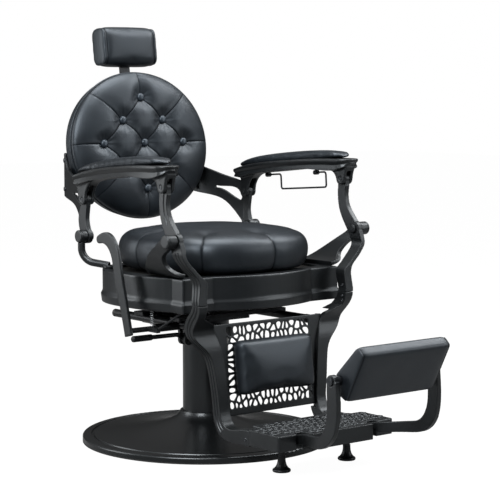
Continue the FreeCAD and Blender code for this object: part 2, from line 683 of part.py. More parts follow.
def footrest_parts(leg):
    """Cast tread plate with corner blocks, hollow underneath, and its two levelling feet."""
    half = [(LEG_INNER_X, -388), (LEG_INNER_X, -424), (194, -424), (194, -545), (136, -545), (136, -528)]
    half += [(102, -528), (102, -568)]
    points = [V(x, y, TREAD_BOTTOM) for x, y in half]
    points += [V(-x, y, TREAD_BOTTOM) for x, y in reversed(half)]
    plate = polygon(points).extrude(ALONG_Z * (TREAD_TOP - TREAD_BOTTOM))
    outer = []
    for edge in plate.Edges:
        corner = edge.CenterOfMass
        if abs(edge.tangentAt(0).z) > 0.9 and abs(corner.x) > 193:
            outer.append(edge)
    plate = plate.makeFillet(6, outer)
    ceiling = TREAD_TOP - TREAD_SKIN
    pockets = [box((-94, -560, TREAD_BOTTOM), (94, -396, ceiling))]
    pockets.append(box((102, -520, TREAD_BOTTOM), (186, -432, ceiling)))
    pockets.append(mirrored(pockets[1]))
    plate = plate.cut(pockets)
    stem_radius = LEVELLER_RADIUS + SHAFT_CLEARANCE
    for sign in (-1, 1):
        place = V(sign * LEVELLER_X, LEVELLER_Y, TREAD_BOTTOM)
        boss = cylinder(15, place, V(place.x, place.y, ceiling))
        hole = cylinder(stem_radius, place, V(place.x, place.y, ceiling))
        plate = plate.fuse(boss).cut(hole)
    save("footrest_plate", plate.removeSplitter().cut([leg, mirrored(leg)]))

    low = FLOOR_GAP
    leveller = revolved(
        [(0, low), (22, low)],
        [(22, low), (23.5, low + 3), (22, low + 7)],
        [(22, low + 7), (17, low + 11), (11.5, low + 22), (10, low + 34)],
        [(10, low + 34), (10, low + 40)],
        [(10, low + 40), (8.5, low + 40)],
        [(8.5, low + 40), (8.5, low + 54)],
        [(8.5, low + 54), (LEVELLER_RADIUS, low + 54)],
        [(LEVELLER_RADIUS, low + 54), (LEVELLER_RADIUS, 88)],
        [(LEVELLER_RADIUS, 88), (0, 88)],
        [(0, 88), (0, low)],
    )
    for name, sign in (("left", 1), ("right", -1)):
        save("levelling_foot_" + name, leveller.translated(V(sign * LEVELLER_X, LEVELLER_Y, 0)))


def bolster_parts():
    """Swan-neck arms on the footrest and the calf bolster that turns between them."""
    plan = [(119, -528), (121, -552), (136, -592), (156, -634), (166, -672), (BOLSTER_ARM_X, -745)]
    widths = [BOLSTER_ARM_HALF] * len(plan)
    footprint = strip([V(x, y, 60) for x, y in plan], widths, ALONG_Z).extrude(ALONG_Z * 260)
    pin_y, pin_z = BOLSTER_PIVOT
    neck = [(-528, 96), (-590, 106), (-642, 112), (-683, 122), (-708, 148), (-719, 190), (pin_y - 3, pin_z)]
    profile = strip([side(y, z) for y, z in neck], [12, 13, 14, 16, 18, 18, 16], ALONG_X)
    arm = profile.extrude(ALONG_X * 200).common(footprint)
    x_low = BOLSTER_ARM_X - BOLSTER_ARM_HALF
    x_high = BOLSTER_ARM_X + BOLSTER_ARM_HALF
    collar_room = cylinder(14, V(100, pin_y, pin_z), V(x_low, pin_y, pin_z))
    head_room = cylinder(12, V(x_high, pin_y, pin_z), V(220, pin_y, pin_z))
    arm = arm.cut([collar_room, head_room])
    eye = cylinder(16, V(x_low, pin_y, pin_z), V(x_high, pin_y, pin_z))
    hole = cylinder(BOLSTER_PIN_RADIUS + SHAFT_CLEARANCE, V(100, pin_y, pin_z), V(200, pin_y, pin_z))
    save_pair("bolster_arm", fused(arm, eye).cut(hole))

    wedge = [(-776, 364), (-801, 342), (-738, 220), (-708, 236), (-696, 285)]
    pad = polygon([side(y, z, -BOLSTER_HALF_WIDTH) for y, z in wedge])
    pad = pad.extrude(ALONG_X * 2 * BOLSTER_HALF_WIDTH)
    long_edges = [edge for edge in pad.Edges if abs(edge.tangentAt(0).x) > 0.9]
    pad = pad.makeFillet(7, long_edges)
    core = box((-130, -6, -50), (130, 6, 50))
    core.rotate(ORIGIN, ALONG_X, 40)
    core.translate(side(-742, 303))
    stubs = []
    shoulder = BOLSTER_HALF_WIDTH + 1
    for sign in (-1, 1):
        buried = side(pin_y, pin_z, sign * 125)
        stub = cylinder(BOLSTER_PIN_RADIUS, buried, side(pin_y, pin_z, sign * (x_high + 1)))
        collar = cylinder(12, side(pin_y, pin_z, sign * shoulder), side(pin_y, pin_z, sign * (x_low - 1)))
        head = cylinder(10, side(pin_y, pin_z, sign * (x_high + 1)), side(pin_y, pin_z, sign * (x_high + 5)))
        stubs.append(fused(stub, collar, head))
    save("bolster_core", core.cut(stubs))
    save("bolster_pad", pad.cut([core] + stubs))
    save("bolster_pivots", *stubs)


def lock_parts():
    """Recline lock under the seat: its barrel, sliding rod, handle, shaft and return spring."""
    rear = V(LOCK_X, 120, LOCK_Z)
    barrel = cylinder(LOCK_RADIUS, V(LOCK_X, -150, LOCK_Z), rear)
    saddles = []
    for y in (BAR_FRONT_Y, BAR_REAR_Y):
        saddles.append(box((LOCK_X - 9, y - 12, LOCK_Z), (LOCK_X + 9, y + 12, HUB_TOP)))
    bore = cylinder(LOCK_ROD_RADIUS + SHAFT_CLEARANCE, V(LOCK_X, -150, LOCK_Z), V(LOCK_X, 108, LOCK_Z))
    save("lock_barrel", fused(barrel, *saddles).cut(bore))
    pin_y, pin_z = LOCK_PIN
    rod = cylinder(LOCK_ROD_RADIUS, V(LOCK_X, -192, LOCK_Z), V(LOCK_X, 60, LOCK_Z))
    yoke = box((LOCK_X - 14, pin_y - 14, 318), (LOCK_X + 14, -188, 351))
    fork = box((LOCK_X - 7.5, pin_y - 14, 318), (LOCK_X + 7.5, -200, 351))
    slot_half = LOCK_PIN_RADIUS + 0.7
    slot_top = pin_z + 4.6
    slot = box((LOCK_X - 20, pin_y - slot_half, 328), (LOCK_X + 20, pin_y + slot_half, slot_top))
    heights = (328, slot_top)
    ends = [cylinder(slot_half, V(LOCK_X - 20, pin_y, z), V(LOCK_X + 20, pin_y, z)) for z in heights]
    save("lock_rod", fused(rod, yoke).cut([fork, slot] + ends))

    path = [(-108, 328), (-96, 372), (-82, 420), (-62, 487), (-51, 535), (-30, 566), (22, 571)]
    grip = strip([side(y, z) for y, z in path], [14, 14, 15, 17, 17, 18, 11], ALONG_X)
    grip.translate(ALONG_X * (HANDLE_X - HANDLE_THICKNESS / 2))
    grip = grip.extrude(ALONG_X * HANDLE_THICKNESS)
    half = HANDLE_THICKNESS / 2
    tip = cylinder(11, V(HANDLE_X - half, 22, 571), V(HANDLE_X + half, 22, 571))
    save("recline_handle", fused(grip, tip))
    shaft_end = HANDLE_X + HANDLE_THICKNESS / 2
    shaft = cylinder(SHAFT_RADIUS, V(shaft_end, SHAFT_Y, SHAFT_Z), V(-188, SHAFT_Y, SHAFT_Z))
    crank = box((-274, -150, SHAFT_Z - 6), (-264, SHAFT_Y, SHAFT_Z + 6))
    link = cylinder(3.5, V(-269, -142, SHAFT_Z), V(-240, -212, 392))
    save("recline_shaft", fused(shaft, crank, link))
    coil = cylinder(6, V(-269, -121, SHAFT_Z + 6), V(-269, -121, 397))
    save("return_spring", coil.cut(cylinder(4.5, V(-269, -121, SHAFT_Z), V(-269, -121, 400))))


def pedal_parts():
    """Pump pedal: a cranked bar with a thick rounded tread, hung in the hub's ears."""
    pivot_x, pivot_z = PEDAL_PIVOT
    route = [V(pivot_x, PEDAL_Y, pivot_z), V(-112, PEDAL_Y, 302), V(-236, PEDAL_Y, 303)]
    bar = bent_rod(route, 18, PEDAL_RADIUS)
    tread = cylinder(8.5, V(-262, PEDAL_Y, 303), V(-196, PEDAL_Y, 303))
    tread = tread.makeFillet(5, [edge for edge in tread.Edges if edge.BoundBox.XLength < 1])
    eye = cylinder(11, V(pivot_x, PEDAL_Y - 6.5, pivot_z), V(pivot_x, PEDAL_Y + 6.5, pivot_z))
    pin = cylinder(PEDAL_RADIUS, V(pivot_x, PEDAL_Y - 18, pivot_z), V(pivot_x, PEDAL_Y + 18, pivot_z))
    save("pump_pedal", fused(bar, tread, eye, pin))


def set_back(shape):
    """Move a piece from the back's own frame to its leaning place on the chair."""
    turn = FreeCAD.Rotation(ALONG_X, 90 - BACK_LEAN)
    moved = shape.copy()
    moved.Placement = FreeCAD.Placement(BACK_CENTRE, turn).multiply(moved.Placement)
    return moved


def button_places():
    """Diamond pattern of one, two, three, two and one buttons."""
    places = []
    for row, count in zip((2, 1, 0, -1, -2), (1, 2, 3, 2, 1)):
        for index in range(count):
            x = (index - (count - 1) / 2) * 2 * BUTTON_STEP_X
            places.append((x, BUTTON_CENTRE_Y + row * BUTTON_STEP_Y))
    return places


def back_parts():
    """Round padded back, its shell, and the headrest on its sliding post; gives back the shell."""
    rim = BACK_RADIUS
    widen = FreeCAD.Matrix()
    widen.scale(BACK_WIDENING, 1, 1)
    shell = revolved(
        [(0, -BACK_DEPTH), (165, -BACK_DEPTH)],
        [(165, -BACK_DEPTH), (192, -43), (rim, -28)],
        [(rim, -28), (rim + 2, SEAM_DEPTH)],
        [(rim + 2, SEAM_DEPTH), (0, SEAM_DEPTH)],
        [(0, SEAM_DEPTH), (0, -BACK_DEPTH)],
    ).transformGeometry(widen)
    gap = SLOT_GAP
    low = (-POST_HALF_WIDTH - gap, 0, POST_REAR - gap)
    slot = box(low, (POST_HALF_WIDTH + gap, 250, POST_FRONT + gap))
    shell = set_back(shell.cut(slot))
    save("back_shell", shell)
    cushion = revolved(
        [(0, SEAM_DEPTH), (rim + 1, SEAM_DEPTH)],
        [(rim + 1, SEAM_DEPTH), (rim + 4, 11), (rim - 2, 23), (184, 33), (132, 40), (0, CUSHION_CROWN)],
        [(0, CUSHION_CROWN), (0, SEAM_DEPTH)],
    )
    dimples = []
    buttons = []
    for x, y in button_places():
        seat = BUTTON_SEAT + (BUTTON_RISE if abs(x) > 1 else 0)
        dimples.append(Part.makeCone(13, 36, 40, V(x / BACK_WIDENING, y, seat)))
        disc = cylinder(BUTTON_RADIUS, V(x, y, seat), V(x, y, seat + 10))
        dome = Part.makeSphere(BUTTON_DOME, V(x, y, seat + 7 - BUTTON_DOME))
        buttons.append(set_back(disc.common(dome)))
    save("back_cushion", set_back(cushion.cut(dimples).transformGeometry(widen)))
    save("back_buttons", *buttons)

    post = box((-POST_HALF_WIDTH, 20, POST_REAR), (POST_HALF_WIDTH, HEADREST_BOTTOM + 70, POST_FRONT))
    save("headrest_post", set_back(post))
    low = (-HEADREST_HALF_WIDTH, HEADREST_BOTTOM, HEADREST_MIDDLE - HEADREST_HALF_DEPTH)
    pad = box(low, (HEADREST_HALF_WIDTH, HEADREST_TOP, HEADREST_MIDDLE + HEADREST_HALF_DEPTH))
    pad = pad.makeFillet(22, [edge for edge in pad.Edges if abs(edge.tangentAt(0).x) > 0.9])
    save("headrest_pad", set_back(pad.cut(post)))
    return shell


def hanger_point(along, z, out=0.0):
    """Point in the upright plane of a hanger plate, measured from the post towards the back."""
    ahead = (HANGER_SHELL_END - HANGER_POST_END).normalize()
    outward = V(ahead.y, -ahead.x, 0)
    return HANGER_POST_END + ahead * along + outward * out + ALONG_Z * z


def hanger_plate(face, low, high):
    """Plate of a given thickness range across the hanger plane."""
    outward = hanger_point(0, 0, 1) - hanger_point(0, 0, 0)
    face.translate(outward * low)
    return face.extrude(outward * (high - low))


def hanger_parts(shell):
    """Y-shaped castings that carry the back on the rear pivots, and the frame behind the shell."""
    spot = hanger_point
    half = HANGER_THICKNESS / 2
    arm = outline(
        [spot(-4, 688), spot(30, 700), spot(85, 714), spot(128, 727), spot(166, 741), spot(186, 776)],
        [spot(186, 776), spot(193, 785), spot(200, 776)],
        [spot(200, 776), spot(200, 664)],
        [spot(200, 664), spot(170, 658), spot(125, 652), spot(82, 640), spot(45, 612), spot(-4, 556)],
        [spot(-4, 556), spot(-4, 688)],
    )
    slot = outline(
        [spot(106, 681), spot(62, 679), spot(26, 669), spot(19, 655)],
        [spot(19, 655), spot(16, 645), spot(22, 640)],
        [spot(22, 640), spot(46, 651), spot(78, 668), spot(106, 674)],
        [spot(106, 674), spot(109, 677.5), spot(106, 681)],
    )
    arm = hanger_plate(arm, -half, half).cut(hanger_plate(slot, -2 * half, 2 * half))
    y, z = REAR_HINGE
    pin_y, pin_z = REAR_PIVOT
    x_low = REAR_POST_X - LEVER_THICKNESS / 2
    x_high = REAR_POST_X + LEVER_THICKNESS / 2
    path = [side(y, z), side(168, 640), side(173, 612), side(168, 588), side(pin_y, pin_z)]
    post = strip(path, [12, 16, 18, 18, 17], ALONG_X)
    post.translate(ALONG_X * x_low)
    post = post.extrude(ALONG_X * LEVER_THICKNESS)
    eye = cylinder(EYE_RADIUS, V(x_low, y, z), V(x_high, y, z))
    boss = cylinder(20, V(x_low, pin_y, pin_z), V(x_high, pin_y, pin_z))
    keep_out = cylinder(21, V(x_high, y, z), V(x_high + 40, y, z))
    keep_in = box((x_low - 60, 100, z - 22), (x_low, y + 20, 800))
    arm = arm.cut([keep_out, keep_in]).common(box((100, 140, 500), (x_high, 420, 800)))
    hinge_hole = cylinder(HINGE_PIN_RADIUS + SHAFT_CLEARANCE, V(200, y, z), V(400, y, z))
    pivot_hole = cylinder(PIVOT_PIN_RADIUS + SHAFT_CLEARANCE, V(200, pin_y, pin_z), V(400, pin_y, pin_z))
    save_pair("back_hanger", fused(post, eye, boss, arm).cut([hinge_hole, pivot_hole, shell]))

    flange = polygon([spot(172, 668), spot(214, 668), spot(214, 780), spot(190, 780), spot(172, 742)])
    flange = hanger_plate(flange, -half - 7, -half)
    plate = set_back(box((-235, -112, -BACK_DEPTH - 6), (235, -42, -BACK_DEPTH)))
    outside = polygon([spot(100, 600), spot(300, 600), spot(300, 900), spot(100, 900)])
    outside = hanger_plate(outside, -half - 7, 90)
    plate = plate.cut([outside, mirrored(outside)])
    save("back_frame", fused(plate, flange, mirrored(flange)).cut(shell))
    outward = (spot(0, 0, 1) - spot(0, 0, 0))
    screws = []
    for along, z in ((189, 684), (190, 764)):
        head = cylinder(7, spot(along, z, half), spot(along, z, half) + outward * 4)
        shank = cylinder(3.5, spot(along, z, -half - 5), spot(along, z, half))
        screws.append(fused(head, shank))
    save("hanger_screws", *(screws + [mirrored(screw) for screw in screws]))


def arm_line():
    """Top line of an armrest casting in the side view, from the rear tip to the front tip."""
    return [side(206, 726), side(150, 742), side(60, 756), side(-60, 767), side(-180, 774), side(-266, 774)]


def toe_out(y):
    """Sideways place of the armrest's middle: the arms open slightly towards the front."""
    share = (y - REAR_HINGE[0]) / (FRONT_HINGE[0] - REAR_HINGE[0])
    return REAR_POST_X + share * (FRONT_LEVER_X - REAR_POST_X)


def arm_plan(half_front, half_rear, front_y, rear_y, bulge):
    """Plan of an armrest: long sides and rounded ends, on the toed-out centre line."""
    rear_x = toe_out(rear_y)
    front_x = toe_out(front_y)
    right = [V(rear_x + half_rear, rear_y - 18, 600), V(toe_out(0) + half_rear + bulge, 0, 600)]
    right += [V(front_x + half_front + 1, front_y + 90, 600), V(front_x + half_front, front_y + 26, 600)]
    left = [V(front_x - half_front, front_y + 26, 600), V(front_x - half_front - 1, front_y + 90, 600)]
    left += [V(toe_out(0) - half_rear - bulge, 0, 600), V(rear_x - half_rear, rear_y - 18, 600)]
    return outline(
        right,
        [right[-1], V(front_x, front_y, 600), left[0]],
        left,
        [left[-1], V(rear_x, rear_y, 600), right[0]],
    ).extrude(ALONG_Z * 300)


def armrest_parts():
    """Armrest castings with a clevis at each end, their pads and hinge pins."""
    top = arm_line()
    under = [side(-266, 766), side(-254, 754), side(-226, 744), side(-116, 742), side(-26, 735)]
    under += [side(60, 726), side(120, 718), side(180, 708), side(206, 714)]
    beam = outline(top, [top[-1], under[0]], under, [under[-1], top[0]]).extrude(ALONG_X * 400)
    beam = beam.common(arm_plan(ARM_HALF_WIDTH, 31, -266, 206, 2))

    y, z = FRONT_HINGE
    gap = CLEVIS_GAP
    front_x = FRONT_LEVER_X
    cheek = outline(
        [side(-259, 757), side(-254, 744), side(-250, 732), side(y - 17, z)],
        [side(y - 17, z), side(y, z - 17), side(y + 17, z)],
        [side(y + 17, z), side(-208, 730), side(-196, 740), side(-168, 746)],
        [side(-168, 746), side(-259, 757)],
    ).extrude(ALONG_X * 2 * CLEVIS_HALF_WIDTH).translated(ALONG_X * (front_x - CLEVIS_HALF_WIDTH))
    front_gap = box((front_x - gap, -300, 690), (front_x + gap, -150, 741))

    rear_y, rear_z = REAR_HINGE
    rear_x = REAR_POST_X
    haunch = outline(
        [side(80, 726), side(118, 714), side(138, 694), side(rear_y - 16, rear_z)],
        [side(rear_y - 16, rear_z), side(rear_y, rear_z - 16), side(rear_y + 16, rear_z)],
        [side(rear_y + 16, rear_z), side(181, 686), side(188, 702), side(200, 716)],
        [side(200, 716), side(80, 726)],
    ).extrude(ALONG_X * 2 * CLEVIS_HALF_WIDTH).translated(ALONG_X * (rear_x - CLEVIS_HALF_WIDTH))
    rear_gap = box((rear_x - gap, 90, 640), (rear_x + gap, 240, 706))
    hanger_room = box((rear_x - 60, rear_y + 16.5, 640), (rear_x - gap, 260, 706))

    arm = fused(beam, cheek, haunch).cut([front_gap, rear_gap, hanger_room])
    pins = []
    holes = []
    for x, (pin_y, pin_z) in ((front_x, FRONT_HINGE), (rear_x, REAR_HINGE)):
        reach = CLEVIS_HALF_WIDTH - 1
        holes.append(cylinder(HINGE_PIN_RADIUS, V(x - 60, pin_y, pin_z), V(x + 60, pin_y, pin_z)))
        pins.append(cylinder(HINGE_PIN_RADIUS, V(x - reach, pin_y, pin_z), V(x + reach, pin_y, pin_z)))
    arm = arm.cut(holes).removeSplitter()
    save_pair("armrest_casting", arm)
    for name, shapes in (("left", pins), ("right", [mirrored(pin) for pin in pins])):
        save("armrest_pins_" + name, *shapes)

    crown = [side(184, 736), side(160, 750), side(110, 765), side(30, 777), side(-60, 786), side(-150, 791)]
    crown += [side(-210, 789), side(-232, 783), side(-238, 773)]
    corners = [side(-238, 660), side(184, 660)]
    pad = outline(crown, [crown[-1], corners[0]], corners, [corners[1], crown[0]])
    corners = [side(-266, 600), side(206, 600)]
    below = outline(top, [top[-1], corners[0]], corners, [corners[1], top[0]])
    pad = pad.extrude(ALONG_X * 400).cut(below.extrude(ALONG_X * 400))
    pad = pad.common(arm_plan(ARM_HALF_WIDTH - 4, 27, -238, 184, 2))
    save_pair("armrest_pad", pad)


def towel_parts():
    """Wire towel bail under the sitter's left armrest, with its two clips."""
    rear_clip = side(78, 718, TOWEL_X)
    front_clip = side(-130, 733, TOWEL_X)
    ahead = (front_clip - rear_clip).normalize()
    drop = V(0, -ahead.z, ahead.y)
    corners = [rear_clip - ahead * 5, rear_clip + ahead * 56, front_clip + ahead * 40, front_clip - ahead * 5]
    route = [corners[0], corners[1], corners[1] + drop * 42, corners[2] + drop * 42, corners[2], corners[3]]
    save("towel_bar", bent_rod(route, 7, TOWEL_WIRE))
    clips = []
    bore = TOWEL_WIRE + SHAFT_CLEARANCE
    for place in (rear_clip, front_clip):
        clip = cylinder(6.5, place - ahead * 7, place + ahead * 7)
        stem = cylinder(4, place, place + ALONG_Z * 12)
        clips.append(fused(clip, stem).cut(cylinder(bore, place - ahead * 20, place + ahead * 20)))
    save("towel_clips", *clips)


os.makedirs("parts", exist_ok=True)
base_parts()
chassis_parts()
seat_parts()
pivot_parts()
lever_parts()
footrest_parts(leg_parts())
panel_parts()
bolster_parts()
lock_parts()
pedal_parts()
hanger_parts(back_parts())
armrest_parts()
towel_parts()
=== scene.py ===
"""Looks of a barber chair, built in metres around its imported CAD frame.

The sitter faces -Y, +X is the sitter's left and +Z is up. Castings are softened copies of the CAD
nodes. The padding starts from its CAD solid, is stuffed by a cloth simulation and then sewn in.
"""

import json
import logging
import math
from collections.abc import Callable
from dataclasses import dataclass
from enum import Enum

import bmesh
import bpy
import numpy as np
from mathutils import Matrix, Vector

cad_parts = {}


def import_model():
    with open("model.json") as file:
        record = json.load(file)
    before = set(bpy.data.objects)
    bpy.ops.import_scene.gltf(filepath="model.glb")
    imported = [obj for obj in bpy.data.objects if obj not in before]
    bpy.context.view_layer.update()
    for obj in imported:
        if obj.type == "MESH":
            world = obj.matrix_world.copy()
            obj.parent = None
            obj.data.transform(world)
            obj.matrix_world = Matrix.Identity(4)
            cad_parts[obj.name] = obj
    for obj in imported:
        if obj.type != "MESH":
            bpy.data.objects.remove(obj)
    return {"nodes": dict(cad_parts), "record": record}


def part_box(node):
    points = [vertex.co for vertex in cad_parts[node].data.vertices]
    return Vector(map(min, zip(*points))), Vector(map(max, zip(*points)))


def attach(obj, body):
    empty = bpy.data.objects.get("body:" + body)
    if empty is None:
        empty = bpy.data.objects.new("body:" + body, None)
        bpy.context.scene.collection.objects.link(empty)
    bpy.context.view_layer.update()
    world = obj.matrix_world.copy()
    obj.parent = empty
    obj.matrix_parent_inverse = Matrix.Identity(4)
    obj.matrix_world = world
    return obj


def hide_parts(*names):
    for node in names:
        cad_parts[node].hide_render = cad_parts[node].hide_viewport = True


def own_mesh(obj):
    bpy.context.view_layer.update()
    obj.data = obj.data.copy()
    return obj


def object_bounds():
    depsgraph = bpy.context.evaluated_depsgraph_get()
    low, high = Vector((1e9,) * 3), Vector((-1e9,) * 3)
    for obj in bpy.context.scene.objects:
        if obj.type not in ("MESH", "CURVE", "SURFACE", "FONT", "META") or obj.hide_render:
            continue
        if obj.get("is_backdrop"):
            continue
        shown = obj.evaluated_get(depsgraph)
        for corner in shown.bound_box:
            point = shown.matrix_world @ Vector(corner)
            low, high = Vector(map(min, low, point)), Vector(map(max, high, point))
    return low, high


MM = 0.001
# The calf panel leans back by this angle about this line.
PANEL_PIVOT_Y = -0.273
PANEL_PIVOT_Z = 0.312
PANEL_TILT = math.radians(5.3)
# Gives a weight from 0 to 1 for each of an array of points.
Weigh = Callable[[np.ndarray], np.ndarray]
log = logging.getLogger("barber_chair")


class Slot(Enum):
    """Material slots of the record that the pieces take their finish from."""

    LEATHER = "leather"
    CASTING = "casting"
    SKIRT = "skirt"
    BASE = "base"
    STEEL = "steel"
    SCREW = "screw"
    RUBBER = "rubber"
    PLYWOOD = "plywood"


def linear(code: str) -> tuple[float, float, float, float]:
    """Turn an sRGB hex colour into linear values.

    Args:
        code: Colour such as "#202428".

    Returns:
        Red, green, blue and an alpha of one.
    """
    channels = [int(code[place:place + 2], 16) / 255 for place in (1, 3, 5)]
    values = [c / 12.92 if c <= 0.04045 else ((c + 0.055) / 1.055) ** 2.4 for c in channels]
    return (*values, 1.0)


def add_node(
    tree: bpy.types.NodeTree,
    kind: str,
    settings: dict | None = None,
    links: dict | None = None,
) -> bpy.types.Node:
    """Add a node with its settings and incoming links.

    Args:
        tree: Shader or geometry tree that gets the node.
        kind: Type name of the node.
        settings: Socket names or numbers, or node properties, with their values.
        links: Socket names or numbers of the new node with the sockets that feed them.

    Returns:
        The new node.
    """
    node = tree.nodes.new(kind)
    for key, value in (settings or {}).items():
        if isinstance(key, int) or (key in node.inputs and not hasattr(node, key)):
            node.inputs[key].default_value = value
        else:
            setattr(node, key, value)
    for key, source in (links or {}).items():
        tree.links.new(source, node.inputs[key])
    return node


def blank_material(name: str) -> tuple[bpy.types.Material, bpy.types.NodeTree]:
    """Make a material with an empty node tree.

    Args:
        name: Name of the material.

    Returns:
        The material and its node tree.
    """
    material = bpy.data.materials.new(name)
    material.use_nodes = True
    material.node_tree.nodes.clear()
    return material, material.node_tree


@dataclass(frozen=True)
class Finish:
    """A dark satin surface: two close tones in clouds, uneven gloss, a fine relief and painted shade
    along marked seams.
    """

    name: str
    slot: Slot
    tone: str
    second_tone: str
    roughness: float
    gloss_swing: float
    cloud_mm: float
    grain_mm: float
    grain_height_mm: float
    metallic: float = 0.0
    coat: float = 0.0
    cells: bool = False
    sheen: str = "#ffffff"

    def material(self) -> bpy.types.Material:
        """Give back the finish as a material, made on first use.

        Returns:
            The shared material of this finish.
        """
        known = bpy.data.materials.get(self.name)
        if known:
            return known
        material, tree = blank_material(self.name)
        place = add_node(tree, "ShaderNodeTexCoord").outputs["Object"]
        clouds = add_node(
            tree,
            "ShaderNodeTexNoise",
            {"Scale": 1 / (self.cloud_mm * MM), "Detail": 4.0, "Roughness": 0.55},
            {"Vector": place},
        )
        tones = add_node(tree, "ShaderNodeValToRGB", None, {"Fac": clouds.outputs["Fac"]})
        tones.color_ramp.elements[0].color = linear(self.tone)
        tones.color_ramp.elements[0].position = 0.35
        tones.color_ramp.elements[1].color = linear(self.second_tone)
        tones.color_ramp.elements[1].position = 0.7
        gloss = add_node(
            tree,
            "ShaderNodeMapRange",
            {"To Min": self.roughness - self.gloss_swing, "To Max": self.roughness + self.gloss_swing},
            {"Value": clouds.outputs["Fac"]},
        )
        bump = add_node(
            tree,
            "ShaderNodeBump",
            {"Strength": 0.5, "Distance": self.grain_height_mm * MM},
            {"Height": self._grain(tree, place)},
        )
        # Painted shade in the seams: the reflection is cut where the seam mark lies, so the seams show
        # as dark lines.
        seam = add_node(tree, "ShaderNodeAttribute", {"attribute_name": "seam"})
        seam_shade = add_node(
            tree,
            "ShaderNodeMapRange",
            {"To Min": 0.5, "To Max": 0.06},
            {"Value": seam.outputs["Fac"]},
        )
        shader = add_node(
            tree,
            "ShaderNodeBsdfPrincipled",
            {
                "Metallic": self.metallic,
                "Coat Weight": self.coat,
                "Coat Roughness": 0.25,
                "Specular Tint": linear(self.sheen),
            },
            {
                "Base Color": tones.outputs["Color"],
                "Roughness": gloss.outputs["Result"],
                "Specular IOR Level": seam_shade.outputs["Result"],
                "Normal": bump.outputs["Normal"],
            },
        )
        add_node(tree, "ShaderNodeOutputMaterial", None, {"Surface": shader.outputs["BSDF"]})
        return material

    def _grain(self, tree: bpy.types.NodeTree, place: bpy.types.NodeSocket) -> bpy.types.NodeSocket:
        """Relief of the surface: leather cells with creases, or a plain grit.

        Args:
            tree: Node tree of the finish.
            place: Socket with the place on the surface.

        Returns:
            Socket with the height of the relief.
        """
        scale = 1 / (self.grain_mm * MM)
        grit = add_node(tree, "ShaderNodeTexNoise", {"Scale": scale, "Detail": 2.0}, {"Vector": place})
        if not self.cells:
            return grit.outputs["Fac"]
        cells = add_node(
            tree,
            "ShaderNodeTexVoronoi",
            {"feature": "DISTANCE_TO_EDGE", "Scale": scale},
            {"Vector": place},
        )
        flat = add_node(
            tree,
            "ShaderNodeMapRange",
            {"From Max": 0.22},
            {"Value": cells.outputs["Distance"]},
        )
        both = add_node(
            tree,
            "ShaderNodeMath",
            {"operation": "MULTIPLY_ADD", 1: 0.35},
            {0: grit.outputs["Fac"], 2: flat.outputs["Result"]},
        )
        return both.outputs["Value"]


# Finished PU leather, embossed with a fine grain: black with a cold sheen and soft, wide highlights.
# The real grain is about 1 mm and is drawn a little coarser so that it shows.
LEATHER = Finish(
    name="black_leather",
    slot=Slot.LEATHER,
    tone="#090b0e",
    second_tone="#0e1216",
    roughness=0.44,
    gloss_swing=0.04,
    cloud_mm=90,
    grain_mm=1.6,
    grain_height_mm=0.06,
    coat=0.04,
    cells=True,
    sheen="#d9e8f6",
)
# The same leather over the buttons, stretched smooth; its tone is painted lighter as a highlight of the
# raised buttons.
LIT_BUTTON_LEATHER = Finish(
    name="button_leather",
    slot=Slot.LEATHER,
    tone="#1a1f25",
    second_tone="#20262c",
    roughness=0.36,
    gloss_swing=0.03,
    cloud_mm=30,
    grain_mm=1.4,
    grain_height_mm=0.03,
    sheen="#d9e8f6",
)
# Cast aluminium under satin black powder coat: a fine orange peel and no bare metal.
CASTING = Finish(
    name="powder_coated_casting",
    slot=Slot.CASTING,
    tone="#090a0b",
    second_tone="#0e1011",
    roughness=0.38,
    gloss_swing=0.05,
    cloud_mm=60,
    grain_mm=1.8,
    grain_height_mm=0.05,
    sheen="#e6eef4",
)
# Moulded ABS skirt: smoother than the castings, a shade lighter.
SKIRT = Finish(
    name="moulded_abs",
    slot=Slot.SKIRT,
    tone="#0b0d0e",
    second_tone="#101214",
    roughness=0.34,
    gloss_swing=0.04,
    cloud_mm=120,
    grain_mm=0.9,
    grain_height_mm=0.03,
    sheen="#e6eef4",
)
# Sprayed steel base in semi-gloss black enamel: smooth, with a soft and clear reflection.
ENAMEL = Finish(
    name="black_enamel",
    slot=Slot.BASE,
    tone="#090a0b",
    second_tone="#0d0f10",
    roughness=0.3,
    gloss_swing=0.03,
    cloud_mm=150,
    grain_mm=2.2,
    grain_height_mm=0.006,
    coat=0.12,
    sheen="#e6eef4",
)
# Black zinc on steel tube and rod: darker, with a metal's coloured reflection.
STEEL = Finish(
    name="black_zinc_steel",
    slot=Slot.STEEL,
    tone="#1b1d1f",
    second_tone="#26282b",
    roughness=0.36,
    gloss_swing=0.06,
    cloud_mm=25,
    grain_mm=1.2,
    grain_height_mm=0.02,
    metallic=0.6,
)
# Bright zinc on spring wire: a light grey gleam.
ZINC = Finish(
    name="bright_zinc",
    slot=Slot.STEEL,
    tone="#8d9093",
    second_tone="#a4a7aa",
    roughness=0.3,
    gloss_swing=0.05,
    cloud_mm=10,
    grain_mm=0.8,
    grain_height_mm=0.01,
    metallic=0.9,
)
# Turned and blackened screw steel: dark metal with small bright edges.
SCREW = Finish(
    name="blackened_screw_steel",
    slot=Slot.SCREW,
    tone="#303235",
    second_tone="#404347",
    roughness=0.32,
    gloss_swing=0.05,
    cloud_mm=8,
    grain_mm=0.8,
    grain_height_mm=0.02,
    metallic=0.8,
)
# Black rubber: matt and slightly dusty.
RUBBER = Finish(
    name="black_rubber",
    slot=Slot.RUBBER,
    tone="#0d0e0f",
    second_tone="#141516",
    roughness=0.6,
    gloss_swing=0.06,
    cloud_mm=20,
    grain_mm=1.1,
    grain_height_mm=0.05,
)
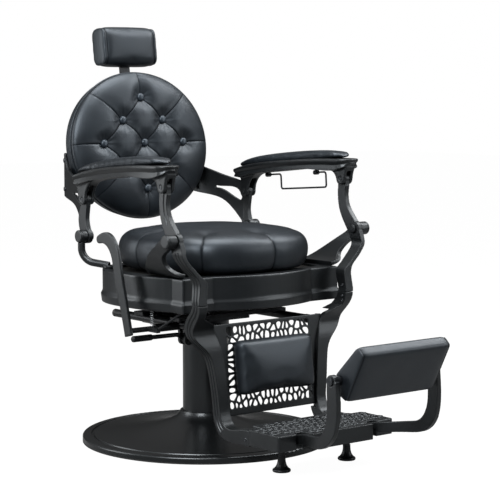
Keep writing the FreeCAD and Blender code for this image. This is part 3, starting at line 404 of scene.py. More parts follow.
# Seat board of plywood, stained black: dull and a little brown.
PLYWOOD = Finish(
    name="black_stained_plywood",
    slot=Slot.PLYWOOD,
    tone="#121110",
    second_tone="#1c1a18",
    roughness=0.6,
    gloss_swing=0.08,
    cloud_mm=40,
    grain_mm=3.0,
    grain_height_mm=0.1,
)


class Frame:
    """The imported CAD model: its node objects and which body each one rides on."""

    def __init__(self) -> None:
        """Load the frame and keep the CAD box."""
        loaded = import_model()
        self.nodes: dict[str, bpy.types.Object] = loaded["nodes"]
        self.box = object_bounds()
        record = loaded["record"]
        bodies = record["behaviour"]["bodies"]
        self.body_of = {node: body for body, nodes in bodies.items() for node in nodes}

    def copy(self, node: str) -> bpy.types.Mesh:
        """Copy a node's mesh with its loose triangles merged.

        Args:
            node: Name of the CAD node.

        Returns:
            A new mesh in the chair's frame.
        """
        mesh = self.nodes[node].data.copy()
        work = bmesh.new()
        work.from_mesh(mesh)
        bmesh.ops.remove_doubles(work, verts=work.verts, dist=0.01 * MM)
        work.to_mesh(mesh)
        work.free()
        mesh.materials.clear()
        return mesh

    def islands(self, node: str) -> list[np.ndarray]:
        """Points of each separate solid in a node.

        Args:
            node: Name of the CAD node.

        Returns:
            One array of points for each solid.
        """
        work = bmesh.new()
        work.from_mesh(self.copy(node))
        found = []
        waiting = set(work.verts)
        while waiting:
            group = [waiting.pop()]
            for vert in group:
                for edge in vert.link_edges:
                    other = edge.other_vert(vert)
                    if other in waiting:
                        waiting.remove(other)
                        group.append(other)
            found.append(np.array([vert.co[:] for vert in group]))
        work.free()
        return sorted(found, key=lambda points: tuple(np.round(points.mean(axis=0), 4)))

    def dress(self, node: str, finish: Finish) -> None:
        """Give a CAD node that keeps its shape its finish.

        Args:
            node: Name of the CAD node.
            finish: Finish of the piece.
        """
        mesh = self.nodes[node].data
        mesh.materials.clear()
        mesh.materials.append(finish.material())
        mesh.polygons.foreach_set("material_index", [0] * len(mesh.polygons))

    def adopt(self, piece: bpy.types.Object, finish: Finish, *nodes: str) -> bpy.types.Object:
        """Dress a piece, let it stand for CAD nodes and ride where they do.

        Args:
            piece: Finished object.
            finish: Its finish.
            nodes: CAD nodes that it replaces, all of one body.

        Returns:
            The same piece.
        """
        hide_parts(*nodes)
        return self.attach(piece, finish, self.body_of[nodes[0]])

    def attach(self, piece: bpy.types.Object, finish: Finish, body: str) -> bpy.types.Object:
        """Dress an added piece and let it ride on a body.

        Args:
            piece: Finished object.
            finish: Finish of the piece.
            body: Body that it rides on.

        Returns:
            The same piece.
        """
        if not any(piece.data.materials):
            piece.data.materials.clear()
            piece.data.materials.append(finish.material())
        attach(piece, body)
        log.info("%s rides on %s in %s", piece.name, body, finish.name)
        return piece


def shade_smooth(mesh: bpy.types.Mesh) -> None:
    """Shade all faces of a mesh smooth."""
    mesh.polygons.foreach_set("use_smooth", [True] * len(mesh.polygons))


def new_object(name: str, mesh: bpy.types.Mesh) -> bpy.types.Object:
    """Link a mesh to the scene as a smooth-shaded object at the origin.

    Args:
        name: Name of the object and of its mesh.
        mesh: Mesh in the chair's frame.

    Returns:
        The new object.
    """
    mesh.name = name
    shade_smooth(mesh)
    piece = bpy.data.objects.new(name, mesh)
    bpy.context.scene.collection.objects.link(piece)
    return piece


def mesh_from(name: str, points: list, faces: list) -> bpy.types.Mesh:
    """Make a mesh from points and faces, with its normals turned outwards.

    Args:
        name: Name of the mesh.
        points: Points of the mesh.
        faces: Numbers of each face's points.

    Returns:
        The new mesh, with its double points merged.
    """
    mesh = bpy.data.meshes.new(name)
    mesh.from_pydata([tuple(point) for point in points], [], faces)
    work = bmesh.new()
    work.from_mesh(mesh)
    bmesh.ops.remove_doubles(work, verts=work.verts, dist=0.01 * MM)
    bmesh.ops.recalc_face_normals(work, faces=work.faces)
    work.to_mesh(mesh)
    work.free()
    return mesh


def mesh_from_rings(name: str, points: list, sides: int) -> bpy.types.Mesh:
    """Make a closed mesh from a stack of rings.

    Args:
        name: Name of the mesh.
        points: Points of all the rings, one ring after the other.
        sides: Number of points in each ring.

    Returns:
        Mesh with a face across its first and its last ring.
    """
    last = len(points) - sides
    faces = [tuple(range(last, len(points))), tuple(reversed(range(sides)))]
    for low in range(0, last, sides):
        high = low + sides
        for side in range(sides):
            after = (side + 1) % sides
            faces.append((low + side, low + after, high + after, high + side))
    return mesh_from(name, points, faces)


def settle(piece: bpy.types.Object) -> bpy.types.Object:
    """Turn an object's modifiers into plain mesh.

    Args:
        piece: Object with live modifiers.

    Returns:
        The same object, with the result as its mesh and no modifiers.
    """
    graph = bpy.context.evaluated_depsgraph_get()
    result = bpy.data.meshes.new_from_object(piece.evaluated_get(graph))
    old = piece.data
    result.name = old.name
    piece.modifiers.clear()
    piece.data = result
    bpy.data.meshes.remove(old)
    return piece


def soften(piece: bpy.types.Object, voxel_mm: float, rounds: int) -> bpy.types.Object:
    """Round off every edge of a closed piece as a casting or a moulding is rounded.

    Args:
        piece: Object with a closed mesh.
        voxel_mm: Size of the new faces.
        rounds: Rounds of smoothing; each one rounds the edges a little more.

    Returns:
        The same object with its new mesh.
    """
    remesh = piece.modifiers.new("even_skin", "REMESH")
    remesh.mode = "VOXEL"
    remesh.voxel_size = voxel_mm * MM
    remesh.use_smooth_shade = True
    smooth = piece.modifiers.new("rounded_edges", "SMOOTH")
    smooth.factor = 0.5
    smooth.iterations = rounds
    return settle(piece)


def coordinates(piece: bpy.types.Object) -> np.ndarray:
    """Points of an object's mesh as an array.

    Args:
        piece: Object to read.

    Returns:
        One row of three values for each point.
    """
    values = np.empty(len(piece.data.vertices) * 3)
    piece.data.vertices.foreach_get("co", values)
    return values.reshape(-1, 3)


def normals(piece: bpy.types.Object) -> np.ndarray:
    """Normals of an object's points as an array.

    Args:
        piece: Object to read.

    Returns:
        One row of three values for each point.
    """
    values = np.empty(len(piece.data.vertices) * 3)
    piece.data.vertices.foreach_get("normal", values)
    return values.reshape(-1, 3)


def move_points(piece: bpy.types.Object, points: np.ndarray) -> None:
    """Put new points into an object's mesh."""
    piece.data.vertices.foreach_set("co", points.ravel())
    piece.data.update()


@dataclass(frozen=True)
class Stuffing:
    """How a pad is filled: it starts a little smaller and swells by no more than its cap."""

    voxel_mm: float
    start: float
    cap_mm: float
    pressure: float = 4.0
    frames: int = 20
    evening: int = 12
    stretch_stiffness: float = 5.0
    bending_stiffness: float = 12.0
    quality: int = 5
    least_weight: float = 0.02

    def fill(self, piece: bpy.types.Object, held: Weigh | None = None) -> None:
        """Stuff a pad with a cloth simulation.

        Args:
            piece: Object with the pad's closed mesh.
            held: Gives a weight from 0 to 1 for each point that is nailed or sewn down.
        """
        soften(piece, self.voxel_mm, 6)
        full = coordinates(piece)
        middle = (full.min(axis=0) + full.max(axis=0)) / 2
        begin = middle + (full - middle) * self.start
        move_points(piece, begin)
        self._swell(piece, begin, held)
        smooth = piece.modifiers.new("even_cover", "SMOOTH")
        smooth.iterations = self.evening
        finer = piece.modifiers.new("finer", "SUBSURF")
        finer.levels = 1
        finer.render_levels = 1
        settle(piece)

    def _swell(self, piece: bpy.types.Object, start: np.ndarray, held: Weigh | None) -> None:
        """Run the cloth and keep its result within the cap.

        Args:
            piece: Object with the pad's even mesh.
            start: Points of that mesh.
            held: Weight of the points that are nailed or sewn down, if any are.
        """
        cloth = piece.modifiers.new("stuffing", "CLOTH")
        cloth.settings.use_pressure = True
        cloth.settings.uniform_pressure_force = self.pressure
        cloth.settings.effector_weights.gravity = 0
        cloth.settings.tension_stiffness = self.stretch_stiffness
        cloth.settings.compression_stiffness = self.stretch_stiffness
        cloth.settings.shear_stiffness = self.stretch_stiffness
        cloth.settings.bending_stiffness = self.bending_stiffness
        cloth.settings.quality = self.quality
        cloth.collision_settings.use_collision = False
        cloth.point_cache.frame_end = self.frames
        if held is not None:
            group = piece.vertex_groups.new(name="held")
            weights = held(start)
            for index in np.nonzero(weights > self.least_weight)[0]:
                group.add([int(index)], float(weights[index]), "REPLACE")
            cloth.settings.vertex_group_mass = group.name
        scene = bpy.context.scene
        for step in range(1, self.frames + 1):
            scene.frame_set(step)
        graph = bpy.context.evaluated_depsgraph_get()
        swollen = coordinates(piece.evaluated_get(graph))
        piece.modifiers.clear()
        piece.vertex_groups.clear()
        scene.frame_set(1)
        shift = swollen - start
        length = np.linalg.norm(shift, axis=1, keepdims=True)
        cap = self.cap_mm * MM
        shift *= np.minimum(1.0, cap / np.maximum(length, 1e-9))
        move_points(piece, start + shift)


def paint_seam_shade(piece: bpy.types.Object, line: np.ndarray) -> None:
    """Keep how far each point lies in a seam, where the finish paints shade as a dark line.

    Args:
        piece: Pad that is sewn.
        line: Weight of each point from 0 to 1; the larger of old and new is kept.
    """
    mark = piece.data.attributes.get("seam")
    if mark is None:
        mark = piece.data.attributes.new("seam", "FLOAT", "POINT")
    known = np.zeros(len(line))
    mark.data.foreach_get("value", known)
    mark.data.foreach_set("value", np.maximum(known, line))


@dataclass(frozen=True)
class Seam:
    """A sewn line where a plane cuts a pad, which pulls the cover in and is painted dark as shade."""

    normal: tuple[float, float, float]
    offset: float
    depth_mm: float = 3.0
    width_mm: float = 5.0
    bowl_mm: float = 3.0
    bowl_width_mm: float = 26.0
    line_mm: float = 2.2
    within: Weigh | None = None

    def press(self, piece: bpy.types.Object) -> None:
        """Pull the cover in along the seam.

        Args:
            piece: Pad whose points move inwards along their normals.
        """
        points = coordinates(piece)
        away = np.abs(points @ np.array(self.normal) - self.offset)
        pull = self.depth_mm * np.exp(-away / (self.width_mm * MM))
        pull += self.bowl_mm * np.exp(-((away / (self.bowl_width_mm * MM)) ** 2))
        # The seam's painted shade: a narrow line of weights that darkens the leather's reflection.
        line = np.exp(-((away / (self.line_mm * MM)) ** 2))
        if self.within is not None:
            share = self.within(points)
            pull *= share
            line *= share
        move_points(piece, points - normals(piece) * pull[:, None] * MM)
        paint_seam_shade(piece, line)


def ramp(values: np.ndarray, low: float, high: float) -> np.ndarray:
    """Smooth step from 0 at low to 1 at high, for either order of the two."""
    share = np.clip((values - low) / (high - low), 0, 1)
    return share * share * (3 - 2 * share)


def group_tree(
    name: str,
    inputs: dict[str, str],
) -> tuple[bpy.types.NodeTree, bpy.types.Node, dict[str, str]]:
    """Start a geometry tree with named inputs.

    Args:
        name: Name of the tree.
        inputs: Input names with their socket types.

    Returns:
        The tree, its group input node and the identifier of each input.
    """
    tree = bpy.data.node_groups.new(name, "GeometryNodeTree")
    tree.interface.new_socket("Geometry", in_out="INPUT", socket_type="NodeSocketGeometry")
    identifiers = {}
    for label, kind in inputs.items():
        socket = tree.interface.new_socket(label, in_out="INPUT", socket_type=kind)
        identifiers[label] = socket.identifier
    tree.interface.new_socket("Geometry", in_out="OUTPUT", socket_type="NodeSocketGeometry")
    return tree, add_node(tree, "NodeGroupInput"), identifiers


def end_tree(
    tree: bpy.types.NodeTree,
    geometry: bpy.types.NodeSocket,
    finish: bpy.types.NodeSocket,
) -> None:
    """End a geometry tree: make its copies real, dress them and give them out.

    Args:
        tree: Tree to end.
        geometry: Socket with the made geometry.
        finish: Socket with the material.
    """
    real = add_node(tree, "GeometryNodeRealizeInstances", None, {"Geometry": geometry})
    dressed = add_node(
        tree,
        "GeometryNodeSetMaterial",
        None,
        {"Geometry": real.outputs["Geometry"], "Material": finish},
    )
    add_node(tree, "NodeGroupOutput", None, {"Geometry": dressed.outputs["Geometry"]})


def run_tree(piece: bpy.types.Object, tree: bpy.types.NodeTree, values: dict) -> bpy.types.Object:
    """Run a geometry tree on an object and keep the result as plain mesh.

    Args:
        piece: Object that carries the input geometry.
        tree: Tree to run.
        values: Input identifiers with their values.

    Returns:
        The same object with the made mesh and no modifier.
    """
    modifier = piece.modifiers.new("made", "NODES")
    modifier.node_group = tree
    for identifier, value in values.items():
        modifier[identifier] = value
    return settle(piece)


class Repeater:
    """Sets copies of one small shape on points, each with its own facing, spin and size."""

    def __init__(self) -> None:
        """Build the geometry tree."""
        inputs = {"Shape": "NodeSocketObject", "Finish": "NodeSocketMaterial"}
        self.tree, start, self.inputs = group_tree("set_on_points", inputs)
        tree = self.tree
        points = add_node(tree, "GeometryNodeMeshToPoints", None, {"Mesh": start.outputs["Geometry"]})
        shape = add_node(
            tree,
            "GeometryNodeObjectInfo",
            {"As Instance": True},
            {"Object": start.outputs["Shape"]},
        )
        facing = add_node(
            tree,
            "GeometryNodeInputNamedAttribute",
            {"data_type": "FLOAT_VECTOR", "Name": "facing"},
        )
        turn = add_node(
            tree,
            "FunctionNodeAlignRotationToVector",
            {"axis": "Z"},
            {"Vector": facing.outputs["Attribute"]},
        )
        spin = add_node(tree, "GeometryNodeInputNamedAttribute", {"data_type": "FLOAT", "Name": "spin"})
        about = add_node(tree, "ShaderNodeCombineXYZ", None, {"Z": spin.outputs["Attribute"]})
        twist = add_node(tree, "FunctionNodeEulerToRotation", None, {"Euler": about.outputs["Vector"]})
        both = add_node(
            tree,
            "FunctionNodeRotateRotation",
            {"rotation_space": "LOCAL"},
            {"Rotation": turn.outputs["Rotation"], "Rotate By": twist.outputs["Rotation"]},
        )
        size = add_node(tree, "GeometryNodeInputNamedAttribute", {"data_type": "FLOAT", "Name": "size"})
        copies = add_node(
            tree,
            "GeometryNodeInstanceOnPoints",
            None,
            {
                "Points": points.outputs["Points"],
                "Instance": shape.outputs["Geometry"],
                "Rotation": both.outputs["Rotation"],
                "Scale": size.outputs["Attribute"],
            },
        )
        end_tree(tree, copies.outputs["Instances"], start.outputs["Finish"])

    def place(
        self,
        name: str,
        shape: bpy.types.Mesh,
        finish: Finish,
        spots: list[tuple[Vector, Vector, float, float]],
    ) -> bpy.types.Object:
        """Set copies of a shape on spots.

        Args:
            name: Name of the new piece.
            shape: Mesh of one copy, facing +Z.
            finish: Finish of all the copies.
            spots: Place, facing, spin in radians and size of each copy.

        Returns:
            One object with all the copies as plain mesh.
        """
        mesh = bpy.data.meshes.new(name)
        mesh.from_pydata([tuple(spot[0]) for spot in spots], [], [])
        facing = mesh.attributes.new("facing", "FLOAT_VECTOR", "POINT")
        facing.data.foreach_set("vector", [value for spot in spots for value in spot[1]])
        for label, column in (("spin", 2), ("size", 3)):
            attribute = mesh.attributes.new(label, "FLOAT", "POINT")
            attribute.data.foreach_set("value", [spot[column] for spot in spots])
        pattern = new_object(name + "_pattern", shape)
        piece = new_object(name, mesh)
        values = {self.inputs["Shape"]: pattern, self.inputs["Finish"]: finish.material()}
        run_tree(piece, self.tree, values)
        bpy.data.objects.remove(pattern)
        shade_smooth(piece.data)
        for label in ("facing", "spin", "size"):
            if label in piece.data.attributes:
                piece.data.attributes.remove(piece.data.attributes[label])
        return piece


class Welt:
    """Lays a round cord along lines, as piping along a seam or wire in a coil."""

    sides = 10

    def __init__(self) -> None:
        """Build the geometry tree."""
        inputs = {"Radius": "NodeSocketFloat", "Finish": "NodeSocketMaterial"}
        self.tree, start, self.inputs = group_tree("cord_along_lines", inputs)
        tree = self.tree
        lines = add_node(tree, "GeometryNodeMeshToCurve", None, {"Mesh": start.outputs["Geometry"]})
        ring = add_node(
            tree,
            "GeometryNodeCurvePrimitiveCircle",
            {"Resolution": self.sides},
            {"Radius": start.outputs["Radius"]},
        )
        cord = add_node(
            tree,
            "GeometryNodeCurveToMesh",
            {"Fill Caps": True},
            {"Curve": lines.outputs["Curve"], "Profile Curve": ring.outputs["Curve"]},
        )
        end_tree(tree, cord.outputs["Mesh"], start.outputs["Finish"])

    def lay(
        self,
        name: str,
        lines: list[list[Vector]],
        radius_mm: float,
        finish: Finish,
    ) -> bpy.types.Object:
        """Lay a cord along lines.

        Args:
            name: Name of the new piece.
            lines: Points of each line; a line that ends where it starts is closed.
            radius_mm: Radius of the cord.
            finish: Finish of the cord.

        Returns:
            One object with all the cords as plain mesh.
        """
        points = []
        edges = []
        for line in lines:
            closed = (Vector(line[0]) - Vector(line[-1])).length < 0.1 * MM
            chain = line[:-1] if closed else line
            first = len(points)
            points += [tuple(point) for point in chain]
            edges += [(first + i, first + i + 1) for i in range(len(chain) - 1)]
            if closed:
                edges.append((first + len(chain) - 1, first))
        mesh = bpy.data.meshes.new(name)
        mesh.from_pydata(points, edges, [])
        piece = new_object(name, mesh)
        values = {self.inputs["Radius"]: radius_mm * MM, self.inputs["Finish"]: finish.material()}
        run_tree(piece, self.tree, values)
        shade_smooth(piece.data)
        return piece


@dataclass(frozen=True)
class CastPiece:
    """A CAD node that is shown as a softened copy."""

    node: str
    finish: Finish
    voxel_mm: float = 1.2
    rounds: int = 2

    def build(self, frame: Frame) -> None:
        """Make the softened copy and let it stand for the node.

        Args:
            frame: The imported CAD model.
        """
        piece = new_object("soft_" + self.node, frame.copy(self.node))
        soften(piece, self.voxel_mm, self.rounds)
        frame.adopt(piece, self.finish, self.node)


@dataclass(frozen=True)
class ArmCasting:
    """Armrest casting with a bead along its upper edge and a cove under it."""

    hand: str
    top: tuple = (
        (-0.266, 0.774),
        (-0.18, 0.774),
        (-0.06, 0.767),
        (0.06, 0.756),
        (0.15, 0.742),
        (0.206, 0.726),
    )
    under: tuple = (
        (-0.266, 0.762),
        (-0.254, 0.752),
        (-0.226, 0.744),
        (-0.116, 0.742),
        (-0.026, 0.735),
        (0.06, 0.726),
        (0.12, 0.718),
        (0.206, 0.708),
    )
    cove_mm: float = 5.0
    cove_rise: float = 0.45
    cove_spread: float = 0.17
    foot_mm: float = 3.0

    def build(self, frame: Frame) -> None:
        """Soften the casting and scoop the cove out of its sides.

        Args:
            frame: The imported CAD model.
        """
        node = "armrest_casting_" + self.hand
        piece = new_object("soft_" + node, frame.copy(node))
        soften(piece, 2.0, 10)
        points = coordinates(piece)
        facing = normals(piece)
        low = np.interp(points[:, 1], *zip(*self.under))
        high = np.interp(points[:, 1], *zip(*self.top))
        rise = (points[:, 2] - low) / (high - low)
        scoop = self.cove_mm * np.exp(-(((rise - self.cove_rise) / self.cove_spread) ** 2))
        scoop += self.foot_mm * ramp(rise, 0.5, 0.2) * ramp(rise, -0.25, 0.05)
        scoop *= ramp(np.abs(facing[:, 2]), 0.8, 0.4)
        level = facing * np.array([1.0, 1.0, 0.0])
        move_points(piece, points - level * scoop[:, None] * MM)
        smooth = piece.modifiers.new("cast_edges", "SMOOTH")
        smooth.iterations = 2
        settle(piece)
        frame.adopt(piece, CASTING, node)


@dataclass(frozen=True)
class PivotPins:
    """Pivot pins with round-edged caps, whose hidden shanks run free in their eyes."""

    node: str
    axis: tuple[float, float]
    shank: float = 0.0105
    shank_share: float = 0.9

    def build(self, frame: Frame) -> None:
        """Soften the pins and slim their shanks.

        Args:
            frame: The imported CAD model.
        """
        piece = new_object("soft_" + self.node, frame.copy(self.node))
        soften(piece, 1.2, 5)
        points = coordinates(piece)
        across = points[:, 1:] - np.array(self.axis)
        hidden = np.linalg.norm(across, axis=1) < self.shank
        points[hidden, 1:] = np.array(self.axis) + across[hidden] * self.shank_share
        move_points(piece, points)
        frame.adopt(piece, CASTING, self.node)


@dataclass(frozen=True)
class ReturnSpring:
    """Bright coil that pushes the recline lever back and shortens when it is pulled."""

    place: tuple[float, float] = (-0.269, -0.121)
    low: float = 0.3482
    high: float = 0.397
    radius: float = 0.0048
    wire_mm: float = 0.9
    turns: int = 9
    turn_steps: int = 16
    pulled: float = 0.88

    def build(self, frame: Frame, welt: Welt) -> None:
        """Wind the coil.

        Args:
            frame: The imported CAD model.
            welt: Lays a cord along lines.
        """
        steps = self.turn_steps * self.turns
        line = []
        for step in range(steps + 1):
            angle = 2 * math.pi * step / self.turn_steps
            x = self.place[0] + self.radius * math.cos(angle)
            y = self.place[1] + self.radius * math.sin(angle)
            line.append(Vector((x, y, self.low + (self.high - self.low) * step / steps)))
        piece = welt.lay("return_coil", [line], self.wire_mm, ZINC)
        frame.adopt(piece, ZINC, "return_spring")
        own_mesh(piece)


@dataclass(frozen=True)
class Ironwork:
    """All rigid pieces: castings as softened copies, turned and tube parts as they are."""

    def build(self, frame: Frame) -> None:
        """Dress the rigid nodes.

        Args:
            frame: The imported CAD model.
        """
        for hand in ("left", "right"):
            for ribbed in ("arm_post", "leg_casting"):
                CastPiece(f"{ribbed}_{hand}", CASTING, 1.0, 1).build(frame)
            for plain in ("back_hanger", "bolster_arm", "front_pivot_bracket", "rear_pivot_bracket"):
                CastPiece(f"{plain}_{hand}", CASTING).build(frame)
            ArmCasting(hand).build(frame)
        CastPiece("footrest_plate", CASTING, 2.0, 2).build(frame)
        CastPiece("recline_handle", CASTING, 1.4, 8).build(frame)
        CastPiece("seat_apron", SKIRT, 2.6, 4).build(frame)
        enamel = ("base_disc", "pump_column", "column_collar", "swivel_hub")
        steel = ("chassis_rails", "cross_members", "chassis_posts", "recline_shaft")
        steel += ("lock_barrel", "lock_rod")
        steel += ("pump_pedal", "lift_ram", "towel_bar", "towel_clips", "headrest_post", "back_frame")
        steel += ("levelling_foot_left", "levelling_foot_right", "ballast_plate")
        steel += ("pump_cylinder", "thrust_bearing", "bolster_core")
        for node in enamel:
            frame.dress(node, ENAMEL)
        for node in steel:
            frame.dress(node, STEEL)
        PivotPins("front_pivot_pins", (-0.276, 0.585)).build(frame)
        PivotPins("rear_pivot_pins", (0.158, 0.568)).build(frame)
        for node in ("edge_gasket", "rail_plugs"):
            frame.dress(node, RUBBER)
        frame.dress("seat_deck", PLYWOOD)


@dataclass(frozen=True)
class Hardware:
    """Screw heads with a hexagon socket, set where the CAD screws are."""

    head_height: float = 0.55
    socket_share: float = 0.5
    sink: float = 0.0004
    foot_height: float = 0.2
    sides: int = 24
    spin: float = 0.3

    def screw(self, radius: float) -> bpy.types.Mesh:
        """Mesh of one screw head that faces +Z and stands on its seat.

        Args:
            radius: Radius of the head.

        Returns:
            Mesh with a domed rim and a sunk hexagon socket.
        """
        height = radius * self.head_height
        dome = [(1.0, 0.0), (1.0, 0.45), (0.93, 0.75), (0.8, 0.94), (0.64, 1.0)]
        angles = [2 * math.pi * step / self.sides for step in range(self.sides)]
        points = []
        for share, rise in dome:
            reach = radius * share
            for angle in angles:
                points.append((reach * math.cos(angle), reach * math.sin(angle), height * rise))
        socket = radius * self.socket_share
        for rise in (1.0, 0.35):
            for angle in angles:
                reach = socket * math.cos(math.pi / 6) / math.cos(angle % (math.pi / 3) - math.pi / 6)
                points.append((reach * math.cos(angle), reach * math.sin(angle), height * rise))
        return mesh_from_rings("screw_head", points, self.sides)

    def faces_out(self, node: str, height: float) -> bool:
        """Tell whether a screw faces away from the chair's middle, as all but the splice screws do."""
        return node != "frame_screws" or height < self.foot_height

    def heads(self, frame: Frame, node: str) -> list[tuple[Vector, Vector, float, float]]:
        """Find the place, facing and size of each screw in a node from its solids.

        Args:
            frame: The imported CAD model.
            node: Name of the CAD node.

        Returns:
            Seat, facing, spin and radius of each head.
        """
        spots = []
        for points in frame.islands(node):
            middle = points.mean(axis=0)
            axis = np.linalg.svd(points - middle, full_matrices=False)[2][0]
            if (axis[0] * middle[0] > 0) != self.faces_out(node, middle[2]):
                axis = -axis
            along = (points - middle) @ axis
            reach = np.linalg.norm(points - middle - np.outer(along, axis), axis=1)
            radius = reach.max()
            seat = middle + axis * (along.max() - radius * self.head_height - self.sink)
            spots.append((Vector(seat), Vector(axis), self.spin, radius))
        return spots

    def build(self, frame: Frame, repeater: Repeater) -> None:
        """Set the screw heads of each node.

        Args:
            frame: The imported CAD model.
            repeater: Sets copies of a shape on points.
        """
        for node in ("frame_screws", "hanger_screws"):
            spots = self.heads(frame, node)
            piece = repeater.place("heads_" + node, self.screw(1.0), SCREW, spots)
            frame.adopt(piece, SCREW, node)
        for node in ("bolster_pivots", "armrest_pins_left", "armrest_pins_right"):
            frame.dress(node, SCREW)


@dataclass(frozen=True)
class SeatPad:
    """Deep seat cushion with pleats that run out from dips on its top and over its edge."""

    centre: tuple[float, float] = (0.0, -0.036)
    half: tuple[float, float] = (0.246, 0.236)
    pleats: int = 7
    first_pleat: float = math.radians(174)
    dip_share: float = 0.66
    dip_mm: float = 9.0
    dip_width_mm: float = 24.0
    roundness: float = 2.6

    def build(self, frame: Frame) -> None:
        """Stuff the cushion and sew its pleats.

        Args:
            frame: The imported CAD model.
        """
        low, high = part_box("seat_cushion")
        piece = new_object("seat_padding", frame.copy("seat_cushion"))
        floor = low[2] + 12 * MM
        filling = Stuffing(voxel_mm=5.0, start=0.99, cap_mm=22.0, pressure=1.0, evening=12)
        filling.fill(piece, lambda points: ramp(points[:, 2], floor + 10 * MM, floor))
        for index in range(self.pleats):
            self._pleat(piece, self.first_pleat + 2 * math.pi * index / self.pleats, high[2])
        frame.adopt(piece, LEATHER, "seat_cushion")

    def share(self, points: np.ndarray) -> np.ndarray:
        """Distance of points from the cushion's middle, as a share of the way to its edge.

        Args:
            points: Places on the cushion.

        Returns:
            0 in the middle and 1 at the edge.
        """
        x = np.abs(points[:, 0] - self.centre[0]) / self.half[0]
        y = np.abs(points[:, 1] - self.centre[1]) / self.half[1]
        return (x**self.roundness + y**self.roundness) ** (1 / self.roundness)

    def _pleat(self, piece: bpy.types.Object, angle: float, top: float) -> None:
        """Sew one pleat over the edge, with the dip at its inner end.

        Args:
            piece: The stuffed cushion.
            angle: Heading of the pleat, in radians.
            top: Height of the cushion's top.
        """
        heading = np.array([math.cos(angle), math.sin(angle)])
        across = (-heading[1], heading[0], 0.0)
        middle = np.array(self.centre)

        def within(points: np.ndarray) -> np.ndarray:
            """Weight of the points on the outer part of this pleat's side."""
            ahead = (points[:, :2] - middle) @ heading > 0
            return ahead * ramp(self.share(points), self.dip_share - 0.03, self.dip_share + 0.12)

        offset = float(middle @ np.array(across[:2]))
        pull = {"depth_mm": 2.6, "width_mm": 2.4, "bowl_mm": 2.6, "bowl_width_mm": 24.0}
        Seam(across, offset, **pull, within=within).press(piece)
        points = coordinates(piece)
        reach = self.dip_share / float(self.share(np.array([[*(middle + heading), 0.0]]))[0])
        dip = middle + heading * reach
        away = np.hypot(points[:, 0] - dip[0], points[:, 1] - dip[1]) / (self.dip_width_mm * MM)
        pull = self.dip_mm * np.exp(-(away**2)) * ramp(points[:, 2], top - 60 * MM, top - 30 * MM)
        points[:, 2] -= pull * MM
        move_points(piece, points)


